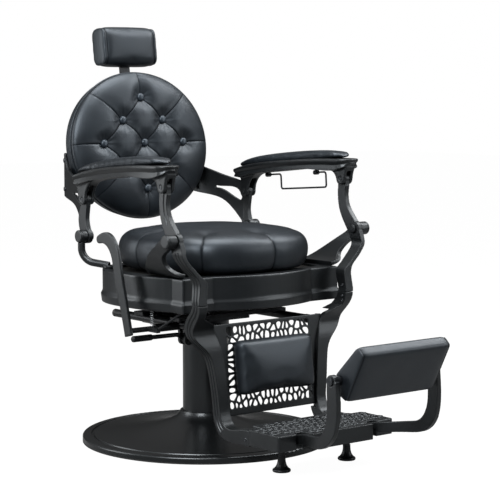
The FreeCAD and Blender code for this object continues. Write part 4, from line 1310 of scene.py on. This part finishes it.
@dataclass(frozen=True)
class BackRest:
    """Oval back with deep buttons in a diamond pattern and pleats between them."""

    centre: tuple[float, float, float] = (0.0, 0.312, 0.802)
    lean: float = math.radians(7.5)
    half_width: float = 0.2335
    half_height: float = 0.2085
    seam_depth: float = 0.002
    crown: float = 0.046
    edge: float = 0.012
    step_x: float = 0.069
    step_y: float = 0.065
    button_y: float = 0.005
    button_depth: float = 0.015
    button_size: float = 1.05
    button_sides: int = 28
    pit_mm: float = 25.0
    pleat_mm: float = 4.0
    pleat_width_mm: float = 2.4
    valley_mm: float = 7.0
    valley_width_mm: float = 24.0
    fold_mm: float = 0.8
    fold_width_mm: float = 6.0
    pucker_mm: float = 0.25
    pucker_reach_mm: float = 20.0
    pucker_width_mm: float = 11.0
    puckers: int = 11
    seam_line_mm: float = 1.5
    rim_pleat: float = 0.2
    welt_mm: float = 2.2
    welt_steps: int = 180
    grid: int = 300

    def place(self, x: float, y: float, z: float) -> Vector:
        """Point of the back's own frame in the chair's frame."""
        turn = Matrix.Rotation(math.pi / 2 - self.lean, 3, "X")
        return Vector(self.centre) + turn @ Vector((x, y, z))

    def buttons(self) -> list[tuple[float, float]]:
        """Places of the buttons in rows of one, two, three, two and one.

        Returns:
            Place of each button across and up the back.
        """
        places = []
        for row, count in zip((2, 1, 0, -1, -2), (1, 2, 3, 2, 1)):
            for index in range(count):
                x = (index - (count - 1) / 2) * 2 * self.step_x
                places.append((x, self.button_y + row * self.step_y))
        return places

    def pleats(self) -> list[tuple[tuple[float, float], tuple[float, float], bool]]:
        """Pleats between neighbouring buttons, and from the outer ones to the rim.

        Returns:
            Start, end and whether the pleat runs out to the rim.
        """
        buttons = self.buttons()
        found = []
        for i, first in enumerate(buttons):
            for second in buttons[i + 1:]:
                across = abs(first[0] - second[0])
                up = abs(first[1] - second[1])
                if abs(across - self.step_x) < MM and abs(up - self.step_y) < MM:
                    found.append((first, second, False))
        for x, y in buttons:
            row = (y - self.button_y) / self.step_y
            column = x / self.step_x
            if abs(row) + abs(column) < 1.9:
                continue
            heading = np.array([column * self.step_x, row * self.step_y])
            if abs(abs(row) - 1) < 0.1:
                heading = np.array([column * 0.9, row * 0.75])
            heading = heading / np.linalg.norm(heading)
            found.append(((x, y), tuple(np.array([x, y]) + heading * self.rim_pleat), True))
        return found

    def height(self, x: np.ndarray, y: np.ndarray) -> np.ndarray:
        """Front surface of the cushion above its seam plane.

        Args:
            x: Places across the back.
            y: Places up the back.

        Returns:
            Height of the cover at each place.
        """
        radius = np.sqrt((x / self.half_width) ** 2 + (y / self.half_height) ** 2)
        dome = self.edge + (self.crown - self.edge) * (1 - np.clip(radius, 0, 1) ** 4.5) ** 0.62
        sunk = np.zeros_like(x)
        broad = np.zeros_like(x)
        fold = np.zeros_like(x)
        for start, end, to_rim in self.pleats():
            run = np.array(end) - np.array(start)
            length = np.linalg.norm(run)
            along = ((x - start[0]) * run[0] + (y - start[1]) * run[1]) / length**2
            across = ((x - start[0]) * run[1] - (y - start[1]) * run[0]) / length
            inside = np.clip(along, 0, 1)
            away = np.hypot(x - start[0] - inside * run[0], y - start[1] - inside * run[1])
            if to_rim:
                deep = 1 - 0.75 * ramp(inside * length, 0.0, 0.1)
            else:
                deep = 0.62 + 0.38 * (2 * inside - 1) ** 2
            sunk = np.maximum(sunk, deep * np.exp(-away / (self.pleat_width_mm * MM)))
            broad = np.maximum(broad, deep * np.exp(-((away / (self.valley_width_mm * MM)) ** 2)))
            upper = np.sign(across * run[0]) * -1
            fold += deep * upper * np.exp(-away / (self.fold_width_mm * MM)) * (along > 0) * (along < 1)
        pit = np.zeros_like(x)
        pucker = np.zeros_like(x)
        for bx, by in self.buttons():
            away = np.hypot(x - bx, y - by)
            angle = np.arctan2(y - by, x - bx)
            pit = np.maximum(pit, np.exp(-((away / (self.pit_mm * MM)) ** 2)))
            off_ring = away - self.pucker_reach_mm * MM
            near = np.exp(-((off_ring / (self.pucker_width_mm * MM)) ** 2))
            pucker += near * np.sin(self.puckers * angle + 40 * bx + 25 * by)
        pulled = self.pleat_mm * MM * sunk + self.valley_mm * MM * broad
        drop = self.button_depth * pit + (1 - 0.8 * pit) * pulled
        fade = 1 - ramp(radius, 0.93, 1.0)
        return dome + fade * (-drop + self.fold_mm * MM * fold + self.pucker_mm * MM * pucker)

    def build(self, frame: Frame, repeater: Repeater, welt: Welt) -> None:
        """Make the cushion, its buttons, its welt and the shell.

        Args:
            frame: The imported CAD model.
            repeater: Sets copies of a shape on points.
            welt: Lays a cord along lines.
        """
        count = self.grid
        spread = np.linspace(-1, 1, count)
        u, v = np.meshgrid(spread, spread)
        x = self.half_width * u * np.sqrt(1 - v**2 / 2)
        y = self.half_height * v * np.sqrt(1 - u**2 / 2)
        z = self.height(x, y)
        points = [self.place(*values) for values in zip(x.ravel(), y.ravel(), z.ravel())]
        faces = []
        for row in range(count - 1):
            for column in range(count - 1):
                corner = row * count + column
                faces.append((corner, corner + 1, corner + count + 1, corner + count))
        rim = list(range(count)) + [row * count + count - 1 for row in range(1, count)]
        rim += [(count - 1) * count + column for column in range(count - 2, -1, -1)]
        rim += [row * count for row in range(count - 2, 0, -1)]
        lower = len(points)
        for index in rim:
            points.append(self.place(x.flat[index], y.flat[index], self.seam_depth))
        for step in range(len(rim)):
            after = (step + 1) % len(rim)
            faces.append((rim[step], rim[after], lower + after, lower + step))
        faces.append(tuple(range(lower, lower + len(rim))))
        piece = new_object("back_padding", mesh_from("back_padding", points, faces))
        self._mark(piece)
        frame.adopt(piece, LEATHER, "back_cushion")
        self._buttons(frame, repeater)
        ring = []
        for step in range(self.welt_steps + 1):
            angle = 2 * math.pi * step / self.welt_steps
            side = self.half_width * math.cos(angle)
            rise = self.half_height * math.sin(angle)
            ring.append(self.place(side, rise, self.seam_depth))
        frame.attach(welt.lay("back_welt", [ring], self.welt_mm, LEATHER), LEATHER, "back")
        shell = new_object("back_shell_cover", frame.copy("back_shell"))
        soften(shell, 3.0, 4)
        frame.adopt(shell, LEATHER, "back_shell")

    def _mark(self, piece: bpy.types.Object) -> None:
        """Mark the pleats as seams, along which the leather is painted dark as shade.

        Args:
            piece: The back cushion.
        """
        turn = Matrix.Rotation(math.pi / 2 - self.lean, 3, "X")
        flat = (coordinates(piece) - np.array(self.centre)) @ np.array(turn)
        x = flat[:, 0]
        y = flat[:, 1]
        line = np.zeros(len(x))
        for start, end, _ in self.pleats():
            run = np.array(end) - np.array(start)
            along = np.clip(((x - start[0]) * run[0] + (y - start[1]) * run[1]) / (run @ run), 0, 1)
            away = np.hypot(x - start[0] - along * run[0], y - start[1] - along * run[1])
            line = np.maximum(line, np.exp(-((away / (self.seam_line_mm * MM)) ** 2)))
        paint_seam_shade(piece, line * (flat[:, 2] > self.edge * 0.5))

    def _buttons(self, frame: Frame, repeater: Repeater) -> None:
        """Set the covered buttons in their pits.

        Args:
            frame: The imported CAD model.
            repeater: Sets copies of a shape on points.
        """
        facing = self.place(0, 0, 1) - self.place(0, 0, 0)
        spots = []
        for bx, by in self.buttons():
            z = float(self.height(np.array([bx]), np.array([by]))[0])
            spots.append((self.place(bx, by, z + 2 * MM), facing, 0.0, self.button_size))
        # The buttons wear the leather painted lighter, a painted highlight on the raised buttons.
        piece = repeater.place("covered_buttons", self._button(), LIT_BUTTON_LEATHER, spots)
        frame.adopt(piece, LIT_BUTTON_LEATHER, "back_buttons")

    def _button(self) -> bpy.types.Mesh:
        """Mesh of one covered button that faces +Z.

        Returns:
            Mesh with a short neck and a domed face.
        """
        profile = [(0.0105, -0.004), (0.0112, 0.0005), (0.0108, 0.003)]
        profile += [(0.0093, 0.0052), (0.0068, 0.0066), (0.0035, 0.0073)]
        points = []
        for reach, rise in profile:
            for step in range(self.button_sides):
                angle = 2 * math.pi * step / self.button_sides
                points.append((reach * math.cos(angle), reach * math.sin(angle), rise))
        return mesh_from_rings("covered_button", points, self.button_sides)


@dataclass(frozen=True)
class HeadPad:
    """Headrest block with sewn end panels and an arched lower edge."""

    seam_inset: float = 0.012

    def build(self, frame: Frame) -> None:
        """Stuff the block and sew its end panels.

        Args:
            frame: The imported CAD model.
        """
        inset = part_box("headrest_pad")[1][0] - self.seam_inset
        piece = new_object("headrest_padding", frame.copy("headrest_pad"))
        Stuffing(voxel_mm=4.0, start=1.0, cap_mm=9.0, evening=16).fill(piece)
        for place in (-inset, inset):
            seam = Seam((1, 0, 0), place, depth_mm=2.6, width_mm=2.6, bowl_mm=1.5, bowl_width_mm=12.0)
            seam.press(piece)
        frame.adopt(piece, LEATHER, "headrest_pad")


@dataclass(frozen=True)
class ArmPads:
    """Moulded pads on the armrest castings."""

    def build(self, frame: Frame) -> None:
        """Stuff both pads.

        Args:
            frame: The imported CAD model.
        """
        for hand in ("left", "right"):
            node = "armrest_pad_" + hand
            piece = new_object("arm_padding_" + hand, frame.copy(node))
            Stuffing(voxel_mm=4.0, start=0.99, cap_mm=4.0, evening=6).fill(piece)
            frame.adopt(piece, LEATHER, node)


@dataclass(frozen=True)
class CalfPad:
    """Plain stuffed panel on the pierced calf panel."""

    fullness: float = 1.85
    widening: float = 1.08
    heightening: float = 1.13

    def panel_face(self, heights: np.ndarray) -> np.ndarray:
        """Depth of the leaning panel's face at each height."""
        return PANEL_PIVOT_Y + (heights - PANEL_PIVOT_Z) * math.tan(PANEL_TILT)

    def build(self, frame: Frame) -> None:
        """Stuff the panel, held where it lies on the casting.

        Args:
            frame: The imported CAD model.
        """
        low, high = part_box("calf_pad")
        back = high[1] - 4 * MM
        piece = new_object("calf_padding", frame.copy("calf_pad"))
        filling = Stuffing(voxel_mm=4.0, start=0.99, cap_mm=9.0, pressure=2.5, evening=12)
        filling.fill(piece, lambda points: ramp(points[:, 1], back - 4 * MM, back))
        points = coordinates(piece)
        middle = (low[2] + high[2]) / 2
        off_panel = points[:, 1] - self.panel_face(points[:, 2])
        points[:, 0] *= self.widening
        points[:, 2] = middle + (points[:, 2] - middle) * self.heightening
        points[:, 1] = self.panel_face(points[:, 2]) + off_panel * self.fullness
        move_points(piece, points)
        frame.adopt(piece, LEATHER, "calf_pad")


@dataclass(frozen=True)
class Bolster:
    """Wedge-shaped foot bolster on its flip pivots."""

    seam_inset: float = 0.006
    corners: tuple = (
        (-0.776, 0.364),
        (-0.801, 0.342),
        (-0.738, 0.220),
        (-0.708, 0.236),
        (-0.696, 0.285),
    )

    def edges(self, points: np.ndarray, half: float) -> np.ndarray:
        """Weight of the points on the wedge's sewn edges, which stay where they are.

        Args:
            points: Points of the wedge.
            half: Half the width of the wedge.

        Returns:
            Weight from 0 to 1 for each point.
        """
        away = np.full(len(points), 1.0)
        rim = np.full(len(points), 1.0)
        for index, corner in enumerate(self.corners):
            here = points[:, 1:] - np.array(corner)
            away = np.minimum(away, np.linalg.norm(here, axis=1))
            run = np.array(self.corners[index - 1]) - np.array(corner)
            share = np.clip(here @ run / (run @ run), 0, 1)
            rim = np.minimum(rim, np.linalg.norm(here - share[:, None] * run, axis=1))
        end = ramp(np.abs(points[:, 0]), half - 9 * MM, half - 5 * MM) * ramp(rim, 10 * MM, 6 * MM)
        return np.maximum(ramp(away, 12 * MM, 7 * MM), end)

    def build(self, frame: Frame) -> None:
        """Stuff the wedge between its sewn edges.

        Args:
            frame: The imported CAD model.
        """
        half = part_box("bolster_pad")[1][0]
        inset = half - self.seam_inset
        piece = new_object("bolster_padding", frame.copy("bolster_pad"))
        filling = Stuffing(voxel_mm=4.0, start=0.995, cap_mm=8.0, pressure=2.5, evening=4)
        filling.fill(piece, lambda points: self.edges(points, half))
        for place in (-inset, inset):
            seam = Seam((1, 0, 0), place, depth_mm=2.0, width_mm=2.5, bowl_mm=1.0, bowl_width_mm=10.0)
            seam.press(piece)
        frame.adopt(piece, LEATHER, "bolster_pad")


@dataclass(frozen=True)
class PiercedPanel:
    """Calf panel with a border of irregular openings between thin cast webs."""

    thickness: float = 0.004
    field: tuple[float, float, float] = (0.141, 0.139, 0.352)
    pad: tuple[float, float, float] = (0.120, 0.178, 0.311)
    step: float = 0.0165
    half_web: float = 0.0026
    side_half_web: float = 0.0034
    smallest: float = 0.004
    jitter: float = 0.36
    seed: int = 11

    def place(self, x: float, y: float, z: float) -> Vector:
        """Point of the upright panel in the chair's frame."""
        offset = Matrix.Rotation(-PANEL_TILT, 3, "X") @ Vector((x, y, z - PANEL_PIVOT_Z))
        return Vector((0, PANEL_PIVOT_Y, PANEL_PIVOT_Z)) + offset

    def opening(
        self,
        site: np.ndarray,
        sites: np.ndarray,
        limits: tuple,
        half_web: float,
    ) -> list[np.ndarray]:
        """Cell of one site, kept half a web away from its neighbours and rounded.

        Args:
            site: Middle of the opening.
            sites: All the middles of its band.
            limits: Low and high corner of the band.
            half_web: Half the width of the web to the next opening.

        Returns:
            Corner points of the opening, or none where it would be too small.
        """
        (x0, z0), (x1, z1) = limits
        cell = [np.array(corner) for corner in ((x0, z0), (x1, z0), (x1, z1), (x0, z1))]
        for other in sites:
            run = other - site
            length = np.linalg.norm(run)
            if length < 1e-6 or length > 4 * self.step:
                continue
            run = run / length
            reach = length / 2 - half_web
            kept = []
            for index, corner in enumerate(cell):
                before = cell[index - 1]
                now = (corner - site) @ run - reach
                then = (before - site) @ run - reach
                if now * then < 0:
                    kept.append(before + (corner - before) * then / (then - now))
                if now <= 0:
                    kept.append(corner)
            cell = kept
            if len(cell) < 3:
                return []
        for _ in range(3):
            rounded = []
            for index, corner in enumerate(cell):
                before = cell[index - 1]
                rounded += [before * 0.75 + corner * 0.25, before * 0.25 + corner * 0.75]
            cell = rounded
        size = np.ptp(np.array(cell), axis=0)
        return cell if size.min() > self.smallest else []

    def openings(self) -> list[list[np.ndarray]]:
        """Openings of the bands above, below and beside the pad.

        Returns:
            Corner points of each opening.
        """
        half, low, high = self.field
        pad_half, pad_low, pad_high = self.pad
        bands = [((-half, pad_high), (half, high)), ((-half, low), (half, pad_low))]
        bands += [((-half, pad_low + 4 * MM), (-pad_half, pad_high - 4 * MM))]
        bands += [((pad_half, pad_low + 4 * MM), (half, pad_high - 4 * MM))]
        chance = np.random.default_rng(self.seed)
        found = []
        for limits in bands:
            (x0, z0), (x1, z1) = limits
            columns = max(1, round((x1 - x0) / self.step))
            rows = max(1, round((z1 - z0) / self.step))
            sites = []
            for row in range(rows):
                for column in range(columns):
                    shift = 0.25 if row % 2 else -0.25
                    spot = np.array([column + 0.5 + shift * (columns > 1), row + 0.5])
                    spot += chance.uniform(-self.jitter, self.jitter, 2)
                    x = x0 + spot[0] * (x1 - x0) / columns
                    z = z0 + spot[1] * (z1 - z0) / rows
                    sites.append([x, z])
            sites = np.array(sites)
            half_web = self.half_web if columns > rows else self.side_half_web
            cells = [self.opening(site, sites, limits, half_web) for site in sites]
            found += [cell for cell in cells if cell]
        return found

    def build(self, frame: Frame) -> None:
        """Close the plain holes of the copy and cut the irregular openings.

        Args:
            frame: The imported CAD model.
        """
        half, low, high = self.field
        margin = 1 * MM
        corners = []
        for x in (-half - margin, half + margin):
            for y in (0.0, self.thickness):
                corners += [self.place(x, y, z) for z in (low - margin, high + margin)]
        sheet = [(0, 1, 3, 2), (4, 6, 7, 5), (0, 4, 5, 1), (2, 3, 7, 6), (0, 2, 6, 4), (1, 5, 7, 3)]
        joined = bmesh.new()
        joined.from_mesh(frame.copy("calf_panel"))
        joined.from_mesh(mesh_from("closed_border", corners, sheet))
        mesh = bpy.data.meshes.new("pierced_panel")
        joined.to_mesh(mesh)
        joined.free()
        piece = new_object("pierced_panel", mesh)
        soften(piece, 1.3, 0)
        points = []
        faces = []
        for cell in self.openings():
            first = len(points)
            count = len(cell)
            points += [self.place(x, -6 * MM, z) for x, z in cell]
            points += [self.place(x, 10 * MM, z) for x, z in cell]
            faces.append(tuple(range(first, first + count)))
            faces.append(tuple(reversed(range(first + count, first + 2 * count))))
            for step in range(count):
                after = (step + 1) % count
                faces.append((first + step, first + count + step, first + count + after, first + after))
        cutter = new_object("opening_cutter", mesh_from("opening_cutter", points, faces))
        cut = piece.modifiers.new("openings", "BOOLEAN")
        cut.operation = "DIFFERENCE"
        cut.solver = "MANIFOLD"
        cut.object = cutter
        settle(piece)
        bpy.data.objects.remove(cutter)
        soften(piece, 1.0, 2)
        frame.adopt(piece, CASTING, "calf_panel")


@dataclass(frozen=True)
class Tread:
    """Raised curls all over the top of the cast tread plate, inside a plain rim."""

    top: float = 0.114
    rim: float = 0.010
    step: float = 0.019
    curl_radius: float = 0.0075
    ridge: float = 0.0034
    jitter: float = 0.0022
    steps: int = 15
    sides: int = 8
    seed: int = 7
    # Half width, front and back of the bridge to the panel, of the middle and of the nose.
    areas: tuple = ((0.149, -0.44, -0.388), (0.194, -0.528, -0.424), (0.102, -0.568, -0.49))

    def inside(self, x: float, y: float) -> bool:
        """Tell whether a place lies on the top face and clear of its rim.

        Args:
            x: Place across the plate.
            y: Place along the plate.

        Returns:
            True where a curl may lie.
        """
        for half, front, back in self.areas:
            if abs(x) < half - self.rim and front + self.rim < y < back - self.rim:
                return True
        return False

    def curl(self) -> bpy.types.Mesh:
        """Mesh of one curled leaf that lies flat and tapers to its tip.

        Returns:
            Mesh of the leaf around its own middle.
        """
        points = []
        for step in range(self.steps):
            share = step / (self.steps - 1)
            angle = math.radians(-30 + 265 * share)
            reach = self.curl_radius * (1.35 - 0.6 * share)
            width = self.ridge * (0.45 + 0.75 * math.sin(math.pi * (0.15 + 0.8 * share)))
            heading = Vector((math.cos(angle), math.sin(angle), 0))
            for side in range(self.sides):
                turn = 2 * math.pi * side / self.sides
                rise = Vector((0, 0, 0.95 * width * math.sin(turn)))
                points.append(heading * (reach + width * math.cos(turn)) + rise)
        return mesh_from_rings("curled_leaf", points, self.sides)

    def build(self, frame: Frame, repeater: Repeater) -> None:
        """Scatter the curls over the plate.

        Args:
            frame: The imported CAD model.
            repeater: Sets copies of a shape on points.
        """
        chance = np.random.default_rng(self.seed)
        spots = []
        for row, y in enumerate(np.arange(-0.56, -0.39, self.step * 0.87)):
            for x in np.arange(-0.19, 0.19, self.step) + (row % 2) * self.step / 2:
                place = np.array([x, y]) + chance.uniform(-self.jitter, self.jitter, 2)
                spin = chance.uniform(0, 2 * math.pi)
                size = chance.uniform(0.85, 1.15)
                if self.inside(*place):
                    seat = Vector((*place, self.top - 0.4 * MM))
                    spots.append((seat, Vector((0, 0, 1)), spin, size))
        piece = repeater.place("tread_relief", self.curl(), CASTING, spots)
        frame.attach(piece, CASTING, "leg_frame")


@dataclass(frozen=True)
class Studio:
    """White sweep, soft light and the camera at the photograph's angle."""

    eye: tuple[float, float, float] = (-2.93304, -3.80023, 0.99218)
    right: tuple[float, float, float] = (0.77575, -0.63104, 0.0)
    up: tuple[float, float, float] = (0.06020, 0.07401, 0.99544)
    lens_mm: float = 126.42
    sensor_mm: float = 36.0
    floor_reach: float = 14.0
    floor_glow: float = 1.22
    glow_share: float = 0.8
    aim: tuple[float, float, float] = (0.0, 0.0, 0.55)

    def build(self) -> None:
        """Set the camera, floor, world and lamps."""
        bpy.context.scene.view_settings.view_transform = "Standard"
        self._camera()
        self._floor()
        self._world()
        self._lamp("key_softbox", (-2.4, -1.4, 2.6), (1.6, 1.6), 150)
        self._lamp("side_softbox", (-2.4, 1.9, 1.3), (1.4, 2.2), 48)
        self._lamp("top_softbox", (0.2, -0.2, 3.0), (1.7, 1.7), 95)
        self._lamp("front_softbox", (2.3, -2.6, 1.5), (1.6, 1.6), 34)
        self._lamp("right_softbox", (2.1, -0.8, 2.7), (1.3, 1.3), 60)

    def _camera(self) -> None:
        """Place the camera."""
        data = bpy.data.cameras.new("camera")
        data.lens = self.lens_mm
        data.sensor_width = self.sensor_mm
        camera = bpy.data.objects.new("camera", data)
        right = Vector(self.right)
        up = Vector(self.up)
        back = right.cross(up)
        turn = Matrix((right, up, back)).transposed().to_4x4()
        camera.matrix_world = Matrix.Translation(self.eye) @ turn
        bpy.context.scene.collection.objects.link(camera)
        bpy.context.scene.camera = camera

    def _floor(self) -> None:
        """Lay the pale floor, which keeps a soft shadow."""
        reach = self.floor_reach
        points = [(-reach, -reach, 0), (reach, -reach, 0), (reach, reach, 0), (-reach, reach, 0)]
        floor = new_object("floor", mesh_from("floor", points, [(0, 1, 2, 3)]))
        material, tree = blank_material("white_sweep")
        matt = add_node(tree, "ShaderNodeBsdfDiffuse", {"Color": linear("#7c7c7c")})
        light = {"Color": (1.0, 1.0, 1.0, 1.0), "Strength": self.floor_glow}
        glow = add_node(tree, "ShaderNodeEmission", light)
        path = add_node(tree, "ShaderNodeLightPath")
        share = add_node(
            tree,
            "ShaderNodeMath",
            {"operation": "MULTIPLY", 1: self.glow_share},
            {0: path.outputs["Is Camera Ray"]},
        )
        mix = add_node(
            tree,
            "ShaderNodeMixShader",
            None,
            {0: share.outputs["Value"], 1: matt.outputs["BSDF"], 2: glow.outputs["Emission"]},
        )
        add_node(tree, "ShaderNodeOutputMaterial", None, {"Surface": mix.outputs["Shader"]})
        floor.data.materials.append(material)
        floor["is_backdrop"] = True

    def _world(self) -> None:
        """Light the room softly: brighter above, white where the camera looks."""
        world = bpy.data.worlds.new("studio")
        bpy.context.scene.world = world
        world.use_nodes = True
        tree = world.node_tree
        tree.nodes.clear()
        place = add_node(tree, "ShaderNodeTexCoord")
        parts = add_node(tree, "ShaderNodeSeparateXYZ", None, {"Vector": place.outputs["Generated"]})
        left = add_node(
            tree,
            "ShaderNodeMapRange",
            {"From Min": 0.2, "From Max": -1.0, "To Min": 0.04, "To Max": 0.45},
            {"Value": parts.outputs["X"]},
        )
        above = add_node(
            tree,
            "ShaderNodeMapRange",
            {"From Min": 0.2, "From Max": 1.0, "To Min": 0.0, "To Max": 0.4},
            {"Value": parts.outputs["Z"]},
        )
        sky = add_node(
            tree,
            "ShaderNodeMath",
            {"operation": "ADD"},
            {0: left.outputs["Result"], 1: above.outputs["Result"]},
        )
        path = add_node(tree, "ShaderNodeLightPath")
        seen = add_node(
            tree,
            "ShaderNodeMath",
            {"operation": "MAXIMUM"},
            {0: path.outputs["Is Camera Ray"], 1: path.outputs["Is Transmission Ray"]},
        )
        level = add_node(
            tree,
            "ShaderNodeMix",
            {"data_type": "FLOAT", 3: 1.0},
            {0: seen.outputs["Value"], 2: sky.outputs["Value"]},
        )
        light = add_node(
            tree,
            "ShaderNodeBackground",
            {"Color": (1.0, 1.0, 1.0, 1.0)},
            {"Strength": level.outputs[0]},
        )
        add_node(tree, "ShaderNodeOutputWorld", None, {"Surface": light.outputs["Background"]})

    def _lamp(
        self,
        name: str,
        spot: tuple[float, float, float],
        size: tuple[float, float],
        watts: float,
    ) -> None:
        """Hang a softbox that faces the chair.

        Args:
            name: Name of the lamp.
            spot: Place of the lamp.
            size: Width and height of its face.
            watts: Power of the lamp.
        """
        data = bpy.data.lights.new(name, "AREA")
        data.shape = "RECTANGLE"
        data.size, data.size_y = size
        data.energy = watts
        lamp = bpy.data.objects.new(name, data)
        ahead = Vector(self.aim) - Vector(spot)
        turn = ahead.to_track_quat("-Z", "Y").to_matrix().to_4x4()
        lamp.matrix_world = Matrix.Translation(spot) @ turn
        bpy.context.scene.collection.objects.link(lamp)


def main() -> None:
    """Build the chair's looks in order."""
    logging.basicConfig(level=logging.INFO, format="%(message)s")
    frame = Frame()
    repeater = Repeater()
    welt = Welt()
    Studio().build()
    Ironwork().build(frame)
    Hardware().build(frame, repeater)
    ReturnSpring().build(frame, welt)
    SeatPad().build(frame)
    BackRest().build(frame, repeater, welt)
    HeadPad().build(frame)
    ArmPads().build(frame)
    CalfPad().build(frame)
    Bolster().build(frame)
    PiercedPanel().build(frame)
    Tread().build(frame, repeater)


if __name__ == "__main__":
    main()
